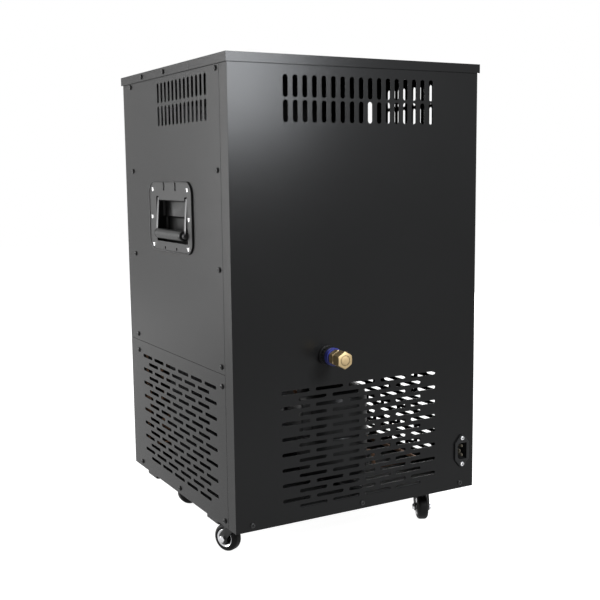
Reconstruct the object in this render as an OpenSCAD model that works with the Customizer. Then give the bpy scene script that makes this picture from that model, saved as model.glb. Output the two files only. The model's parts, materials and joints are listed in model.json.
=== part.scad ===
// Glycol chiller: a tall sheet-steel cabinet on four swivel casters. The lower bay holds the
// condensing unit, the upper bay an insulated glycol tank with its evaporator coil and pump.
// X runs across the cabinet, the front faces -Y, Z is up and zero is the floor.

/* [Cabinet] */
// Width over the side panels
cabinet_w = 400; // [396:1:440]
// Depth from the front panel to the rear panel
cabinet_d = 390; // [386:1:430]
// Height from the bottom edge of the panels to the top of the lid
cabinet_h = 630; // [626:1:680]
// Thickness of the panel sheet
sheet_t = 1.2; // [1:0.1:1.5]
// Height of the lower side panels, up to their seam
lower_panel_h = 212; // [210:1:216]
// How far the rear panel wraps round each side
wrap_w = 23.5; // [20:0.5:26]
// Gap in the seams between neighbouring panels
seam_gap = 0.6; // [0.4:0.1:1]

/* [Lid] */
// How far the rim of the lid stands out from the panels
rim_t = 2.5; // [2:0.1:3.5]
// Height of the rim of the lid
rim_h = 12.4; // [10:0.1:16]
// Depth of the lift-off hatch, from the rear panel forwards
hatch_d = 114.3; // [108:0.1:120]

/* [Vents] */
// Length of an upper vent slot
vent_len = 29; // [24:0.5:30]
// Width of an upper vent slot
vent_wide = 7.3; // [5:0.1:8]
// Spacing of the upper vent slots at the rear
rear_vent_pitch = 14.6; // [13:0.1:15]
// Spacing of the upper vent slots on a side
side_vent_pitch = 14.2; // [13:0.1:15]
// Spacing of the two vent rows at the rear
rear_vent_rise = 32.3; // [32:0.1:34]
// Spacing of the two vent rows on a side
side_vent_rise = 33.4; // [32:0.1:34]
// Number of vent slots in a row at the rear
rear_vent_count = 17; // [9:2:19]
// Number of vent slots in a row on a side
side_vent_count = 13; // [7:2:15]
// Height of a grille slot
grille_slot_h = 5; // [3:0.1:6]
// Web between neighbouring slots of a grille row
grille_web = 9.3; // [8:0.1:11]
// Number of grille rows
grille_rows = 16; // [8:2:16]
// Number of slots in the long rows at the front and rear
rear_slot_count = 5; // [3:1:5]
// Number of slots in the long rows on a side
side_slot_count = 6; // [3:1:6]

/* [Handles] */
// Length of the handle plate
handle_w = 164; // [160:1:172]
// Height of the handle plate
handle_h = 103; // [98:1:110]
// Length of the hand opening
grasp_w = 118; // [112:1:119]
// Height of the hand opening
grasp_h = 61; // [58:1:62]
// Depth of the hand recess behind the panel
grasp_d = 16.5; // [14:0.5:20]
// Radius of the grip sleeve
grip_r = 7.4; // [6:0.1:8]
// Distance from the bail pivot to the grip
bail_len = 51; // [49:0.5:52]
// Lean of the hanging bail out of the recess, in degrees
bail_lean = 4.5; // [2:0.5:8]

/* [Casters] */
// Radius of a wheel
wheel_r = 20; // [18:0.5:21]
// Width of a wheel
wheel_w = 17; // [14:0.5:19]
// Height of a caster from the floor to its plate's top
caster_h = 56.7; // [56:0.1:64]
// Offset of the axle from the swivel axis
caster_trail = 22; // [18:0.5:24]
// Distance of the swivel axes from the sides
caster_side = 42; // [35:1:60]
// Distance of the swivel axes from the front and the rear
caster_end = 77.5; // [60:0.5:95]
// Thickness of the rails under the base
rail_t = 4.3; // [4:0.1:6]
// Width of the rails under the base
rail_w = 43; // [42:0.5:50]

/* [Glycol circuit] */
// Room round the tank's foam, to the outside of the panels
tank_gap = 49.2; // [47:0.1:52]
// Room from the rim of the tank to the top of the lid
tank_head = 112; // [105:1:118]
// Thickness of the foam round the tank
foam_t = 20; // [16:0.5:21]
// Room for the pump beside the evaporator coil
pump_room = 68; // [66:1:80]
// Radius of the evaporator tube
coil_tube_r = 5; // [4:0.1:5.5]
// Whole turns of the evaporator coil
coil_turns = 8; // [4:1:9]
// Reach of the drain plug past the rear panel
drain_reach = 48; // [46:0.5:56]
// Inner radius of the hose grommet in the side
grommet_r = 21; // [18:0.5:22]

/* [Condensing unit] */
// Radius of the compressor shell
compressor_r = 54; // [48:1:56]
// Room between the blade tips and the edge of the shroud
fan_edge = 8; // [7:0.5:20]
// Number of fan blades
fan_blade_count = 5; // [3:1:7]
// Passes of the condenser tube
condenser_passes = 7; // [3:2:7]
// Number of condenser fins
fin_count = 21; // [9:2:25]

/* [Hidden] */
$fn = 48;

// Overrun of every cut past the face that it opens
over = 1;
// Running clearance of pivots and axles
run_gap = 0.05;
// Clearance of loose fits such as screws in their holes
loose_gap = 0.1;
// Clearance of parts that lift off or press in by hand
lift_gap = 0.3;

// Half sizes of the cabinet outside, and inside its panels
half_w = cabinet_w / 2;
half_d = cabinet_d / 2;
in_w = half_w - sheet_t;
in_d = half_d - sheet_t;
// Top edge of the panels, under the lid's sheet
panel_top = cabinet_h - sheet_t;

// Thickness of the controller's bezel, and how far its keys stand out of it
bezel_t = 3;
key_proud = 1;
caster_x = half_w - caster_side;
caster_y = half_d - caster_end;
front_reach = max(bezel_t + key_proud, rim_t);
// Height of the panels' bottom edge over the floor
ground_gap = caster_h + rail_t;
// Moves the cabinet so that the origin lies under the middle of the whole object
shift_y = (front_reach - drain_reach) / 2;

// Base pan: sheet, height of its flanges, and gap beside the corner posts
pan_t = 1.5;
pan_flange_h = 20;
pan_gap = 1;
// Corner posts: sheet, leg along the side, and short leg along the front or rear
post_t = 1.5;
post_leg = 44;
post_lip = 6.5;
post_top = panel_top - 6;

// Pan head screws: head radius and height, shank radius and length
screw_head_r = 3.8;
screw_head_h = 2.2;
screw_r = 1.7;
screw_len = 6;
// Places of the side screws: off the middle, lowest upper screw, rise, and lower panel's two rows
screw_side_edge = 34.5;
screw_y = half_d - screw_side_edge;
screw_upper_z = lower_panel_h + 10;
screw_top_drop = 17.5;
screw_upper_rows = 4;
screw_upper_pitch = (cabinet_h - screw_top_drop - screw_upper_z) / (screw_upper_rows - 1);
screw_lower_z = 8.4;
screw_lower_drop = 16.5;
// Places of the bottom screws at the front and rear
screw_end_edge = 24.5;
screw_x = half_w - screw_end_edge;
// Places of the lid's rim screws, forward of the middle
lid_screw_y = [-104, -15];

// Height of the lowest grille row over the panels' bottom edge, rear and side
rear_grille_z = 21.8;
side_grille_z = 25.4;
// Distance of the highest row below the seam of the side panels, rear and side
rear_grille_drop = 28.2;
side_grille_drop = 22.35;
rear_row_pitch = (lower_panel_h - rear_grille_drop - rear_grille_z) / (grille_rows - 1);
side_row_pitch = (lower_panel_h - side_grille_drop - side_grille_z) / (grille_rows - 1);
// Plain sheet beside the long rows, both ends together
rear_grille_edge = 133.5;
side_grille_edge = 97.8;
rear_slot_len = (cabinet_w - rear_grille_edge) / rear_slot_count - grille_web;
side_slot_len = (cabinet_d - side_grille_edge) / side_slot_count - grille_web;
// Distance of the upper vent row below the top, rear and side
rear_vent_drop = 39.7;
side_vent_drop = 34.8;
// Side vents sit behind the middle
side_vent_y = 41.5;

// Handle: depth of its centre below the top, centre on the side, plate with its raised rim, corners
handle_drop = 214;
handle_y = -5.5;
handle_z = cabinet_h - handle_drop;
handle_t = 1.5;
handle_rim_w = 2.5;
handle_rim_t = 2.5;
handle_corner_r = 20;
// Hand recess: wall, place of the opening, gap round it, shallower upper half, nooks of the bail's barrels
grasp_wall = 1.2;
grasp_back = 5.7;
grasp_drop = 6.4;
grasp_gap = 0.6;
grasp_step = 4;
nook_w = 9;
nook_h = 5.4;
nook_d = 7.5;
// Bail: depth and height of its pivot, barrels, arms, stubs and the rod in the grip
pivot_in = 2.9;
pivot_up = 25.5;
barrel_r = 3.4;
arm_t = 2;
arm_w = 6;
arm_gap = 2;
stub_r = 2.4;
stub_out = 0.4;
rod_r = 4;
// Handle rivets: radius, height, shank, and their columns and rows on the plate
rivet_r = 3.7;
rivet_h = 1.8;
rivet_shank_r = 2;
rivet_shank_len = 4;
rivet_v = 66.5;
rivet_mid_v = 70.5;
rivet_rows_w = [39, -2, -43.5];
// Spring slots above the opening and stop holes below it
clip_w = 5;
clip_h = 12;
clip_v = 22;
clip_w_up = 44;
stop_r = 2.2;
stop_down = 46;

// Inlet: distance from the side, place, flange, cut-out, body and the three pins
inlet_edge = 22.5;
inlet_x = inlet_edge - half_w;
inlet_z = 58.1;
inlet_flange_w = 26;
inlet_flange_h = 50;
inlet_flange_t = 3;
inlet_end_r = 5.5;
inlet_pitch = 40;
inlet_body_w = 20;
inlet_body_h = 27.4;
inlet_body_d = 22;
inlet_cav_w = 16.6;
inlet_cav_h = 24.4;
inlet_cav_d = 16;
inlet_cav_cut = 3.5;
inlet_gap = 0.3;
pin_w = 2;
pin_h = 4;
pin_len = 14;
pin_tail = 7;
pin_spread = 7;
pin_off = 2;
inlet_screw_r = 3.3;
inlet_screw_h = 1.6;
inlet_shank_r = 1.5;

// Drain: place, rise over the seam of the side panels, pipe, nut, coloured ring, hexagons and plug
drain_x = 57;
drain_rise = 17.5;
drain_z = lower_panel_h + drain_rise;
drain_pipe_r = 6.5;
drain_bore_r = 5;
drain_nut_r = 13.5;
drain_nut_len = 13;
drain_ring_r = 12.3;
drain_ring_len = 8;
drain_groove = 1.2;
drain_hex_r = 11.3;
drain_hex_len = 10;
plug_hex_r = 12;
plug_hex_len = 15;
plug_shank_len = 9;
plug_face = 1.5;

// Tank: place of its middle, sheet of the liner, shelf and cover
tank_y = -5;
liner_t = 0.8;
shelf_drop = 20;
shelf_z = lower_panel_h - shelf_drop;
shelf_t = 1.2;
shelf_flange_h = 40;
tank_floor_z = shelf_z + shelf_t + foam_t + liner_t;
tank_rim_z = cabinet_h - tank_head;
tank_h = tank_rim_z - tank_floor_z;
tank_w = cabinet_w - 2 * (tank_gap + liner_t + foam_t);
tank_d = cabinet_d - 2 * (tank_gap + liner_t + foam_t);
foam_w = tank_w + 2 * (liner_t + foam_t);
foam_d = tank_d + 2 * (liner_t + foam_t);
cover_t = 6;
cover_top = tank_rim_z + cover_t;
// Coil: room to the tank's near walls, floor and rim, its ends' bends, and its odd part of a turn
coil_side_gap = 22;
coil_floor_gap = 16;
coil_head = 76;
coil_outset = 14;
coil_bend_r = 14;
coil_start = 225;
coil_extra = 90;
// Radius, rise in one turn, and middle of the coil counted from the tank's middle
coil_r = (min(tank_w, tank_d) - coil_side_gap - pump_room) / 2;
coil_pitch = (tank_h - coil_floor_gap - coil_bend_r - coil_head)
    / (coil_turns + coil_extra / 360);
coil_x = coil_r + coil_side_gap - tank_w / 2;
coil_y = coil_r + coil_side_gap - tank_d / 2;
coil_top_z = cover_top + 10;
coil_sides = 6;
coil_steps = 24;
// Filler hole and its cap
filler_x = -45;
filler_edge = 24;
filler_y = tank_y + tank_d / 2 - filler_edge;
filler_r = 20;
cap_rim = 6;
cap_t = 4;
cap_plug_len = 10;
cap_knob_r = 9;
cap_knob_h = 9;
cap_knob_foot = 7.2;
// Pump: gap to the liner, body, place and foot
pump_gap = 7;
pump_r = 25;
pump_x = tank_w / 2 - pump_gap - pump_r;
pump_y = tank_y + tank_d / 2 - pump_gap - pump_r;
pump_h = 58;
pump_foot_w = 46;
pump_foot_h = 6;
pump_neck_r = 9;
pump_neck_h = 10;
// Risers: tube, collar on the cover, and the return pipe's place and depth
riser_r = 5;
riser_wall = 1;
riser_up = 26;
collar_r = 8;
collar_h = 6;
return_x = 30;
return_edge = 20;
return_y = tank_y + tank_d / 2 - return_edge;
return_dip = 60;

// Grommet: place on the side, lip, thickness and groove
grommet_y = -84;
grommet_drop = 53;
grommet_z = cabinet_h - grommet_drop;
grommet_wall = 2.5;
grommet_lip = 3;
grommet_lip_t = 1.8;

// Compressor: place, room under the shelf, domes, weld flange, feet and terminal box
compressor_x = -20;
compressor_end = 117;
compressor_y = half_d - compressor_end;
compressor_head = 33.5;
dome_r = 24;
weld_out = 4;
weld_t = 5;
weld_z = 66;
foot_plate_t = 3;
foot_reach = 66;
foot_r = 10;
foot_h = 12;
foot_hole_r = 4;
compressor_h = shelf_z - pan_t - foot_h - foot_plate_t - compressor_head;
terminal_w = 46;
terminal_h = 52;
terminal_d = 22;

// Condenser: place, tube, room under the shelf, row pitch, fins and end plates
condenser_front = 23;
condenser_edge = 52;
condenser_y = condenser_front - half_d;
condenser_half = half_w - condenser_edge;
condenser_tube_r = 4.5;
condenser_z = 32;
condenser_drop = 28;
condenser_rise = shelf_z - condenser_drop - condenser_z;
condenser_pitch = condenser_rise / (condenser_passes - 1);
condenser_stub = 12;
fin_t = 0.6;
fin_d = 22;
fin_over = 12;
plate_t = 1.2;
// Shroud: plate, ring, and the gap round the blades
shroud_w = 2 * condenser_half;
shroud_t = 1.2;
shroud_ring_h = 14;
shroud_y = condenser_y + fin_d / 2;
blade_gap = 4;
fan_back = 28;
fan_z = condenser_z + condenser_rise / 2;
fan_y = condenser_y + fan_back;
fan_r = condenser_rise / 2 + fin_over - fan_edge;
hub_r = 14;
hub_len = 14;
blade_t = 1.5;
blade_len = 22;
blade_pitch = 32;
blade_root_gap = 2;
motor_r = 27;
motor_len = 42;
motor_gap = 4;
shaft_r = 3;
bracket_w = 44;
bracket_t = 2;

// Refrigerant lines: tube, bend, and the corners that they run round
line_r = 3;
line_bend = 12;
line_edge = 16;
line_x = half_w - line_edge;
line_y = condenser_y;
line_z = 14;
line_rise = 2;
suction_stub = 22;
discharge_edge = 25;
discharge_back = 62;
discharge_x = half_w - discharge_edge;
discharge_y = condenser_y + discharge_back;
discharge_drop = 44;
discharge_stub = 64;
drier_r = 9;
drier_len = 60;

// Controller on the front: place, bezel, body, window and keys
controller_drop = 55;
controller_z = cabinet_h - controller_drop;
bezel_w = 78;
bezel_h = 35;
controller_w = 70;
controller_h = 28;
controller_d = 58;
window_w = 42;
window_h = 20;
window_t = 1;
window_x = -13;
key_x = 25;
key_pitch = 9;
key_r = 2.8;
key_len = 5;
key_travel = 0.8;
key_well = 7;
// Switch: place, frame, rocker and its swing
switch_x = 78;
switch_frame_w = 16;
switch_frame_h = 22;
switch_frame_t = 2;
switch_body_d = 18;
rocker_r = 7.5;
rocker_w = 10.4;
rocker_in = 4.2;
rocker_flat = 5.4;
rocker_tilt = 11;
rocker_stub_r = 1.5;
rocker_stub_len = 1;
switch_wall = 1.2;
// Control box on the tank cover
box_gap = 11.6;
box_edge = 8.8;
box_x = coil_x + (coil_r + coil_outset + coil_bend_r) * sin(45) + box_gap;
box_y = tank_y - foam_d / 2 + box_edge;
box_w = 90;
box_d = 70;
box_h = 56;

// Casters: plate, ball race, crown, legs, axle and wheel details
plate_w = 42;
plate_h = 2.5;
race_r = 15;
race_h = 4.5;
kingpin_r = 4;
kingpin_head_r = 6.5;
kingpin_head_h = 2;
crown_t = 2.6;
crown_r = 14;
leg_t = 2.2;
leg_gap = 1;
leg_eye_r = 7;
leg_back = 9;
leg_front = 13;
axle_r = 3;
nut_r = 5;
nut_h = 3.2;
tread_round = 5.5;
hub_rim_r = 13.2;
hub_rim_in = 9.6;
hub_rim_t = 1;
hub_boss_r = 5.4;
web_t = 5;
// Swivel angles at rest, for front left, front right, rear left and rear right
caster_turns = [150, 180, 62, -64.5];

function unit(v) = v / norm(v);
function corner(a, b, c, t) = (1 - t) * (1 - t) * a + 2 * t * (1 - t) * b + t * t * c;

// A route through corner points, with each corner rounded over the length bend
function rounded(p, bend, steps) = concat([p[0]],
    [for (i = [1:len(p) - 2]) for (k = [0:steps])
        corner(p[i] + bend * unit(p[i - 1] - p[i]), p[i],
            p[i] + bend * unit(p[i + 1] - p[i]), k / steps)],
    [p[len(p) - 1]]);

function tangents(p) = [for (i = [0:len(p) - 1])
    unit(p[min(i + 1, len(p) - 1)] - p[max(i - 1, 0)])];
function square_to(v, t) = unit(v - (v * t) * t);
function any_normal(t) = square_to(abs(t[2]) < 0.9 ? [0, 0, 1] : [1, 0, 0], t);

// A round tube swept along a route, as one closed skin
module tube(route, r, sides) {
    dirs = tangents(route);
    last = len(route) - 1;
    norms = [for (i = 0, n = any_normal(dirs[0]); i <= last;
        i = i + 1, n = i <= last ? square_to(n, dirs[i]) : n) n];
    points = [for (i = [0:last]) for (k = [0:sides - 1])
        let (a = 360 * k / sides)
        route[i] + r * (cos(a) * norms[i] + sin(a) * cross(dirs[i], norms[i]))];
    walls = [for (i = [0:last - 1]) for (k = [0:sides - 1])
        let (a = i * sides + k, b = i * sides + (k + 1) % sides)
        each [[a, b, b + sides], [a, b + sides, a + sides]]];
    caps = [for (k = [1:sides - 2])
        each [[0, k + 1, k], [last * sides, last * sides + k, last * sides + k + 1]]];
    polyhedron(points = points, faces = [for (f = concat(walls, caps)) [f[0], f[2], f[1]]]);
}

module cabinet() {
    translate([0, shift_y, ground_gap])
        children();
}

module both_sides() {
    for (s = [0, 1])
        mirror([s, 0, 0])
            children();
}

// Puts a flat drawing (across, up) on the rear face, its thickness going inwards
module on_rear(thick) {
    translate([0, half_d, 0])
        rotate([90, 0, 0])
            linear_extrude(thick)
                children();
}

// Puts a flat drawing (along Y, up) on the right side, its thickness going inwards
module on_side(thick) {
    translate([half_w - thick, 0, 0])
        rotate([90, 0, 90])
            linear_extrude(thick)
                children();
}

module round_rect(w, h, r) {
    square([w - 2 * r, h], center = true);
    square([w, h - 2 * r], center = true);
    for (x = [-1, 1])
        for (y = [-1, 1])
            translate([x * (w / 2 - r), y * (h / 2 - r)])
                circle(r);
}

module slot(len, wide) {
    square([len - wide, wide], center = true);
    for (s = [-1, 1])
        translate([s * (len - wide) / 2, 0])
            circle(wide / 2, $fn = 16);
}

// Rows of lying slots, every second row shifted by half a pitch and one slot shorter
module grille(count, len, low, rise) {
    pitch = len + grille_web;
    for (row = [0:grille_rows - 1]) {
        n = count - 1 + row % 2;
        for (i = [0:n - 1])
            translate([(i - (n - 1) / 2) * pitch, low + row * rise])
                slot(len, grille_slot_h);
    }
}

module vents(count, pitch, drop, rise) {
    for (row = [0, 1])
        for (i = [0:count - 1])
            translate([(i - (count - 1) / 2) * pitch, cabinet_h - drop - row * rise])
                rotate(90)
                    slot(vent_len, vent_wide);
}

module holes(places, r) {
    for (p = places)
        translate(p)
            circle(r, $fn = 24);
}

upper_screws = [for (i = [0:screw_upper_rows - 1]) for (s = [-1, 1])
    [s * screw_y, screw_upper_z + i * screw_upper_pitch]];
lower_screws = [for (s = [-1, 1]) for (z = [screw_lower_z, lower_panel_h - screw_lower_drop])
    [s * screw_y, z]];
flange_screw = [0, screw_lower_z];
end_screws = [for (s = [-1, 0, 1]) [s * screw_x, screw_lower_z]];
lid_screws = [for (y = lid_screw_y) [y, cabinet_h - rim_h / 2]];
screw_hole_r = screw_r + loose_gap;

module base_pan() {
    color([0.12, 0.12, 0.12]) cabinet() {
        difference() {
            union() {
                translate([-in_w, -in_d, 0])
                    cube([2 * in_w, 2 * in_d, pan_t]);
                for (s = [-1, 1])
                    translate([s * (in_w - pan_t / 2), 0, pan_flange_h / 2])
                        cube([pan_t, 2 * (in_d - post_leg - pan_gap), pan_flange_h],
                            center = true);
                for (s = [-1, 1])
                    translate([0, s * (in_d - pan_t / 2), pan_flange_h / 2])
                        cube([2 * (in_w - post_lip - pan_gap), pan_t, pan_flange_h],
                            center = true);
            }
            both_sides() on_side(sheet_t + pan_t + over)
                holes([flange_screw], screw_hole_r);
            for (s = [0, 1])
                mirror([0, s, 0])
                    on_rear(sheet_t + pan_t + over)
                        holes(end_screws, screw_hole_r);
        }
    }
}

module post_outline() {
    polygon([[in_w, in_d], [in_w, in_d - post_leg], [in_w - post_t, in_d - post_leg],
        [in_w - post_t, in_d - post_t], [in_w - post_lip, in_d - post_t],
        [in_w - post_lip, in_d]]);
}

module corner_posts() {
    color([0.2, 0.2, 0.2]) cabinet()
        for (s = [0, 1])
            mirror([0, s, 0])
                both_sides() difference() {
                    translate([0, 0, pan_t])
                        linear_extrude(post_top - pan_t)
                            post_outline();
                    on_side(sheet_t + post_t + over)
                        holes(concat(upper_screws, lower_screws), screw_hole_r);
                }
}

module caster_rails() {
    color([0.1, 0.1, 0.1]) cabinet()
        for (s = [-1, 1])
            translate([0, s * caster_y, -rail_t])
                linear_extrude(rail_t)
                    round_rect(cabinet_w, rail_w, rail_t);
}

// Each caster stands under its rail: x, y and the turn of the trail at rest
module at_caster(i) {
    x = i % 2 == 0 ? -caster_x : caster_x;
    y = i < 2 ? -caster_y : caster_y;
    translate([x, y + shift_y, caster_h])
        rotate(caster_turns[i])
            children();
}

crown_z = -plate_h - race_h - lift_gap;
axle_z = wheel_r - caster_h;
leg_in = wheel_w / 2 + leg_gap;
leg_out = leg_in + leg_t;

module caster_plates() {
    color([0.15, 0.15, 0.15])
        for (i = [0:3])
            at_caster(i) {
                rotate(-caster_turns[i])
                    translate([0, 0, -plate_h])
                        linear_extrude(plate_h)
                            round_rect(plate_w, plate_w, plate_h);
                translate([0, 0, -plate_h - race_h])
                    cylinder(r = race_r, h = plate_h / 2 + race_h);
                translate([0, 0, crown_z - crown_t - lift_gap])
                    cylinder(r = kingpin_r, h = race_h + crown_t + 2 * lift_gap);
                translate([0, 0, crown_z - crown_t - lift_gap - kingpin_head_h])
                    cylinder(r = kingpin_head_r, h = kingpin_head_h);
            }
}

module leg_outline() {
    difference() {
        union() {
            polygon([[-leg_back, crown_z], [leg_front, crown_z],
                [caster_trail + leg_eye_r, axle_z], [caster_trail - leg_eye_r, axle_z]]);
            translate([caster_trail, axle_z])
                circle(leg_eye_r);
        }
        translate([caster_trail, axle_z])
            circle(axle_r + loose_gap);
    }
}

module fork(i) {
    color([0.08, 0.08, 0.08])
        at_caster(i) {
            difference() {
                union() {
                    translate([0, 0, crown_z - crown_t]) {
                        cylinder(r = crown_r, h = crown_t);
                        translate([-leg_back, -leg_out, 0])
                            cube([leg_back + leg_front, 2 * leg_out, crown_t]);
                    }
                    for (s = [-1, 1])
                        translate([0, s * (leg_in + leg_out) / 2 + leg_t / 2, 0])
                            rotate([90, 0, 0])
                                linear_extrude(leg_t)
                                    leg_outline();
                }
                translate([0, 0, crown_z - crown_t - over])
                    cylinder(r = kingpin_r + run_gap, h = crown_t + 2 * over);
            }
        }
    color([0.75, 0.75, 0.75])
        at_caster(i)
            translate([caster_trail, 0, axle_z])
                rotate([90, 0, 0]) {
                    cylinder(r = axle_r, h = 2 * leg_out, center = true);
                    for (s = [0, 1])
                        mirror([0, 0, s])
                            translate([0, 0, leg_in])
                                cylinder(r = nut_r, h = leg_t + nut_h, $fn = 6);
                }
}

// Half outline of the wheel: bore, boss, web, recess for the trim ring and round tread
module wheel_outline() {
    face = wheel_w / 2;
    bore = axle_r + run_gap;
    difference() {
        union() {
            translate([bore, -face])
                square([hub_boss_r - bore, wheel_w]);
            translate([bore, -web_t / 2])
                square([hub_rim_in - bore, web_t]);
            translate([hub_rim_in, -face])
                square([wheel_r - tread_round - hub_rim_in, wheel_w]);
            translate([hub_rim_in, -face + tread_round])
                square([wheel_r - hub_rim_in, wheel_w - 2 * tread_round]);
            for (s = [-1, 1])
                translate([wheel_r - tread_round, s * (face - tread_round)])
                    circle(tread_round);
        }
        for (s = [-1, 1])
            translate([hub_rim_in - over, s * (face - hub_rim_t / 2) - hub_rim_t / 2])
                square([hub_rim_r - hub_rim_in + over, hub_rim_t]);
    }
}

module wheel(i) {
    color([0.06, 0.06, 0.06])
        at_caster(i)
            translate([caster_trail, 0, axle_z])
                rotate([90, 0, 0])
                    rotate_extrude()
                        wheel_outline();
    color([0.75, 0.75, 0.75])
        at_caster(i)
            translate([caster_trail, 0, axle_z])
                rotate([90, 0, 0])
                    for (s = [-1, 1])
                        translate([0, 0, s * (wheel_w - hub_rim_t) / 2])
                            difference() {
                                cylinder(r = hub_rim_r - run_gap, h = hub_rim_t, center = true);
                                cylinder(r = hub_rim_in, h = hub_rim_t + over, center = true);
                            }
}

module tank_shelf() {
    x = in_w - post_t;
    y = in_d - post_t;
    color([0.3, 0.3, 0.3]) cabinet() difference() {
        translate([-x, -y, shelf_z])
            cube([2 * x, 2 * y, shelf_flange_h]);
        translate([-x + shelf_t, -y + shelf_t, shelf_z + shelf_t])
            cube([2 * (x - shelf_t), 2 * (y - shelf_t), shelf_flange_h]);
        for (s = [-1, 1])
            translate([s * line_x, line_y, shelf_z - over])
                cylinder(r = line_r + over, h = shelf_t + 2 * over);
        translate([drain_x, in_d, drain_z])
            rotate([90, 0, 0])
                cylinder(r = drain_pipe_r + over, h = post_t + shelf_t + over);
        both_sides() on_side(sheet_t + post_t + shelf_t + over)
            holes(concat(upper_screws, lower_screws), screw_hole_r);
    }
}

module rear_panel() {
    color([0.11, 0.11, 0.11]) cabinet() {
        on_rear(sheet_t)
            difference() {
                translate([-half_w, 0])
                    square([cabinet_w, panel_top]);
                vents(rear_vent_count, rear_vent_pitch, rear_vent_drop, rear_vent_rise);
                grille(rear_slot_count, rear_slot_len, rear_grille_z, rear_row_pitch);
                holes(end_screws, screw_hole_r);
                translate([drain_x, drain_z])
                    circle(drain_pipe_r + loose_gap);
                translate([inlet_x, inlet_z])
                    square([inlet_body_w + 2 * inlet_gap, inlet_body_h + 2 * inlet_gap],
                        center = true);
                for (s = [-1, 1])
                    translate([inlet_x, inlet_z + s * inlet_pitch / 2])
                        circle(inlet_shank_r + loose_gap, $fn = 24);
            }
        both_sides() translate([in_w, half_d - wrap_w, 0])
            cube([sheet_t, wrap_w - sheet_t, panel_top]);
    }
}

module front_panel() {
    color([0.11, 0.11, 0.11]) cabinet() mirror([0, 1, 0])
        on_rear(sheet_t)
            difference() {
                translate([-in_w, 0])
                    square([2 * in_w, panel_top]);
                grille(rear_slot_count, rear_slot_len, rear_grille_z, rear_row_pitch);
                holes(end_screws, screw_hole_r);
                translate([0, controller_z])
                    square([controller_w + 2 * loose_gap,
                        controller_h + 2 * loose_gap], center = true);
                translate([switch_x, controller_z])
                    square([switch_hole_w + 2 * loose_gap,
                        switch_hole_h + 2 * loose_gap], center = true);
            }
}

// Outline of a side panel between two heights, before its holes
module side_sheet(low, high) {
    translate([-half_d, low])
        square([cabinet_d - wrap_w - seam_gap, high - low]);
}

module upper_side(with_hose_hole) {
    color([0.3, 0.3, 0.3]) cabinet() on_side(sheet_t)
        difference() {
            side_sheet(lower_panel_h + seam_gap, panel_top);
            translate([side_vent_y, 0])
                vents(side_vent_count, side_vent_pitch, side_vent_drop, side_vent_rise);
            holes(upper_screws, screw_hole_r);
            holes(lid_screws, screw_hole_r);
            translate([handle_y, handle_z]) {
                grasp_shape(grasp_wall + grasp_gap);
                nook_shape(grasp_wall + grasp_gap);
                holes(rivet_places, rivet_shank_r + loose_gap);
            }
            if (with_hose_hole)
                translate([grommet_y, grommet_z])
                    circle(grommet_r + grommet_wall);
        }
}

module lower_side() {
    color([0.3, 0.3, 0.3]) cabinet() on_side(sheet_t)
        difference() {
            side_sheet(0, lower_panel_h);
            grille(side_slot_count, side_slot_len, side_grille_z, side_row_pitch);
            holes(concat(lower_screws, [flange_screw]), screw_hole_r);
        }
}

module side_panel_upper_right() {
    upper_side(false);
}

module side_panel_upper_left() {
    mirror([1, 0, 0])
        upper_side(true);
}

module side_panel_lower_right() {
    lower_side();
}

module side_panel_lower_left() {
    mirror([1, 0, 0])
        lower_side();
}

// Place of the seam between the fixed cover and the hatch
seam_y = half_d - hatch_d;
ledge_w = 16;
ledge_drop = 4;

module top_cover() {
    front = half_d + rim_t;
    color([0.11, 0.11, 0.11]) cabinet() difference() {
        union() {
            translate([-half_w - rim_t, -front, panel_top])
                cube([cabinet_w + 2 * rim_t, front + seam_y, sheet_t]);
            translate([-half_w - rim_t, -front, cabinet_h - rim_h])
                cube([cabinet_w + 2 * rim_t, rim_t, rim_h - sheet_t]);
            both_sides() translate([half_w, -front + rim_t, cabinet_h - rim_h])
                cube([rim_t, front - rim_t + seam_y, rim_h - sheet_t]);
            translate([-in_w + lift_gap, seam_y - sheet_t, panel_top - ledge_drop])
                cube([2 * (in_w - lift_gap), sheet_t, ledge_drop]);
            translate([-in_w + lift_gap, seam_y - sheet_t,
                    panel_top - ledge_drop - sheet_t])
                cube([2 * (in_w - lift_gap), ledge_w, sheet_t]);
        }
        both_sides() translate([rim_t + over, 0, 0])
            on_side(rim_t + 2 * over)
                holes(lid_screws, screw_hole_r);
    }
}

module hatch() {
    x = half_w + rim_t;
    wall = rim_t - lift_gap;
    color([0.11, 0.11, 0.11]) cabinet() {
        translate([-x, seam_y + seam_gap, panel_top])
            cube([2 * x, half_d + rim_t - seam_y - seam_gap, sheet_t]);
        translate([-x, half_d + lift_gap, cabinet_h - rim_h])
            cube([2 * x, wall, rim_h - sheet_t]);
        both_sides()
            translate([half_w + lift_gap, seam_y + seam_gap, cabinet_h - rim_h])
                cube([wall, half_d + lift_gap - seam_y - seam_gap, rim_h - sheet_t]);
        translate([-in_w + ledge_w, seam_y + seam_gap, panel_top - ledge_drop])
            cube([2 * (in_w - ledge_w), ledge_w / 2, ledge_drop]);
    }
}

// A pan head screw along +X, its head's seat at the origin
module side_screw() {
    rotate([0, 90, 0]) {
        cylinder(r = screw_head_r, h = screw_head_h / 2);
        translate([0, 0, screw_head_h / 2])
            cylinder(r1 = screw_head_r, r2 = screw_head_r / 2, h = screw_head_h / 2);
        translate([0, 0, -screw_len])
            cylinder(r = screw_r, h = screw_len, $fn = 24);
    }
}

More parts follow.
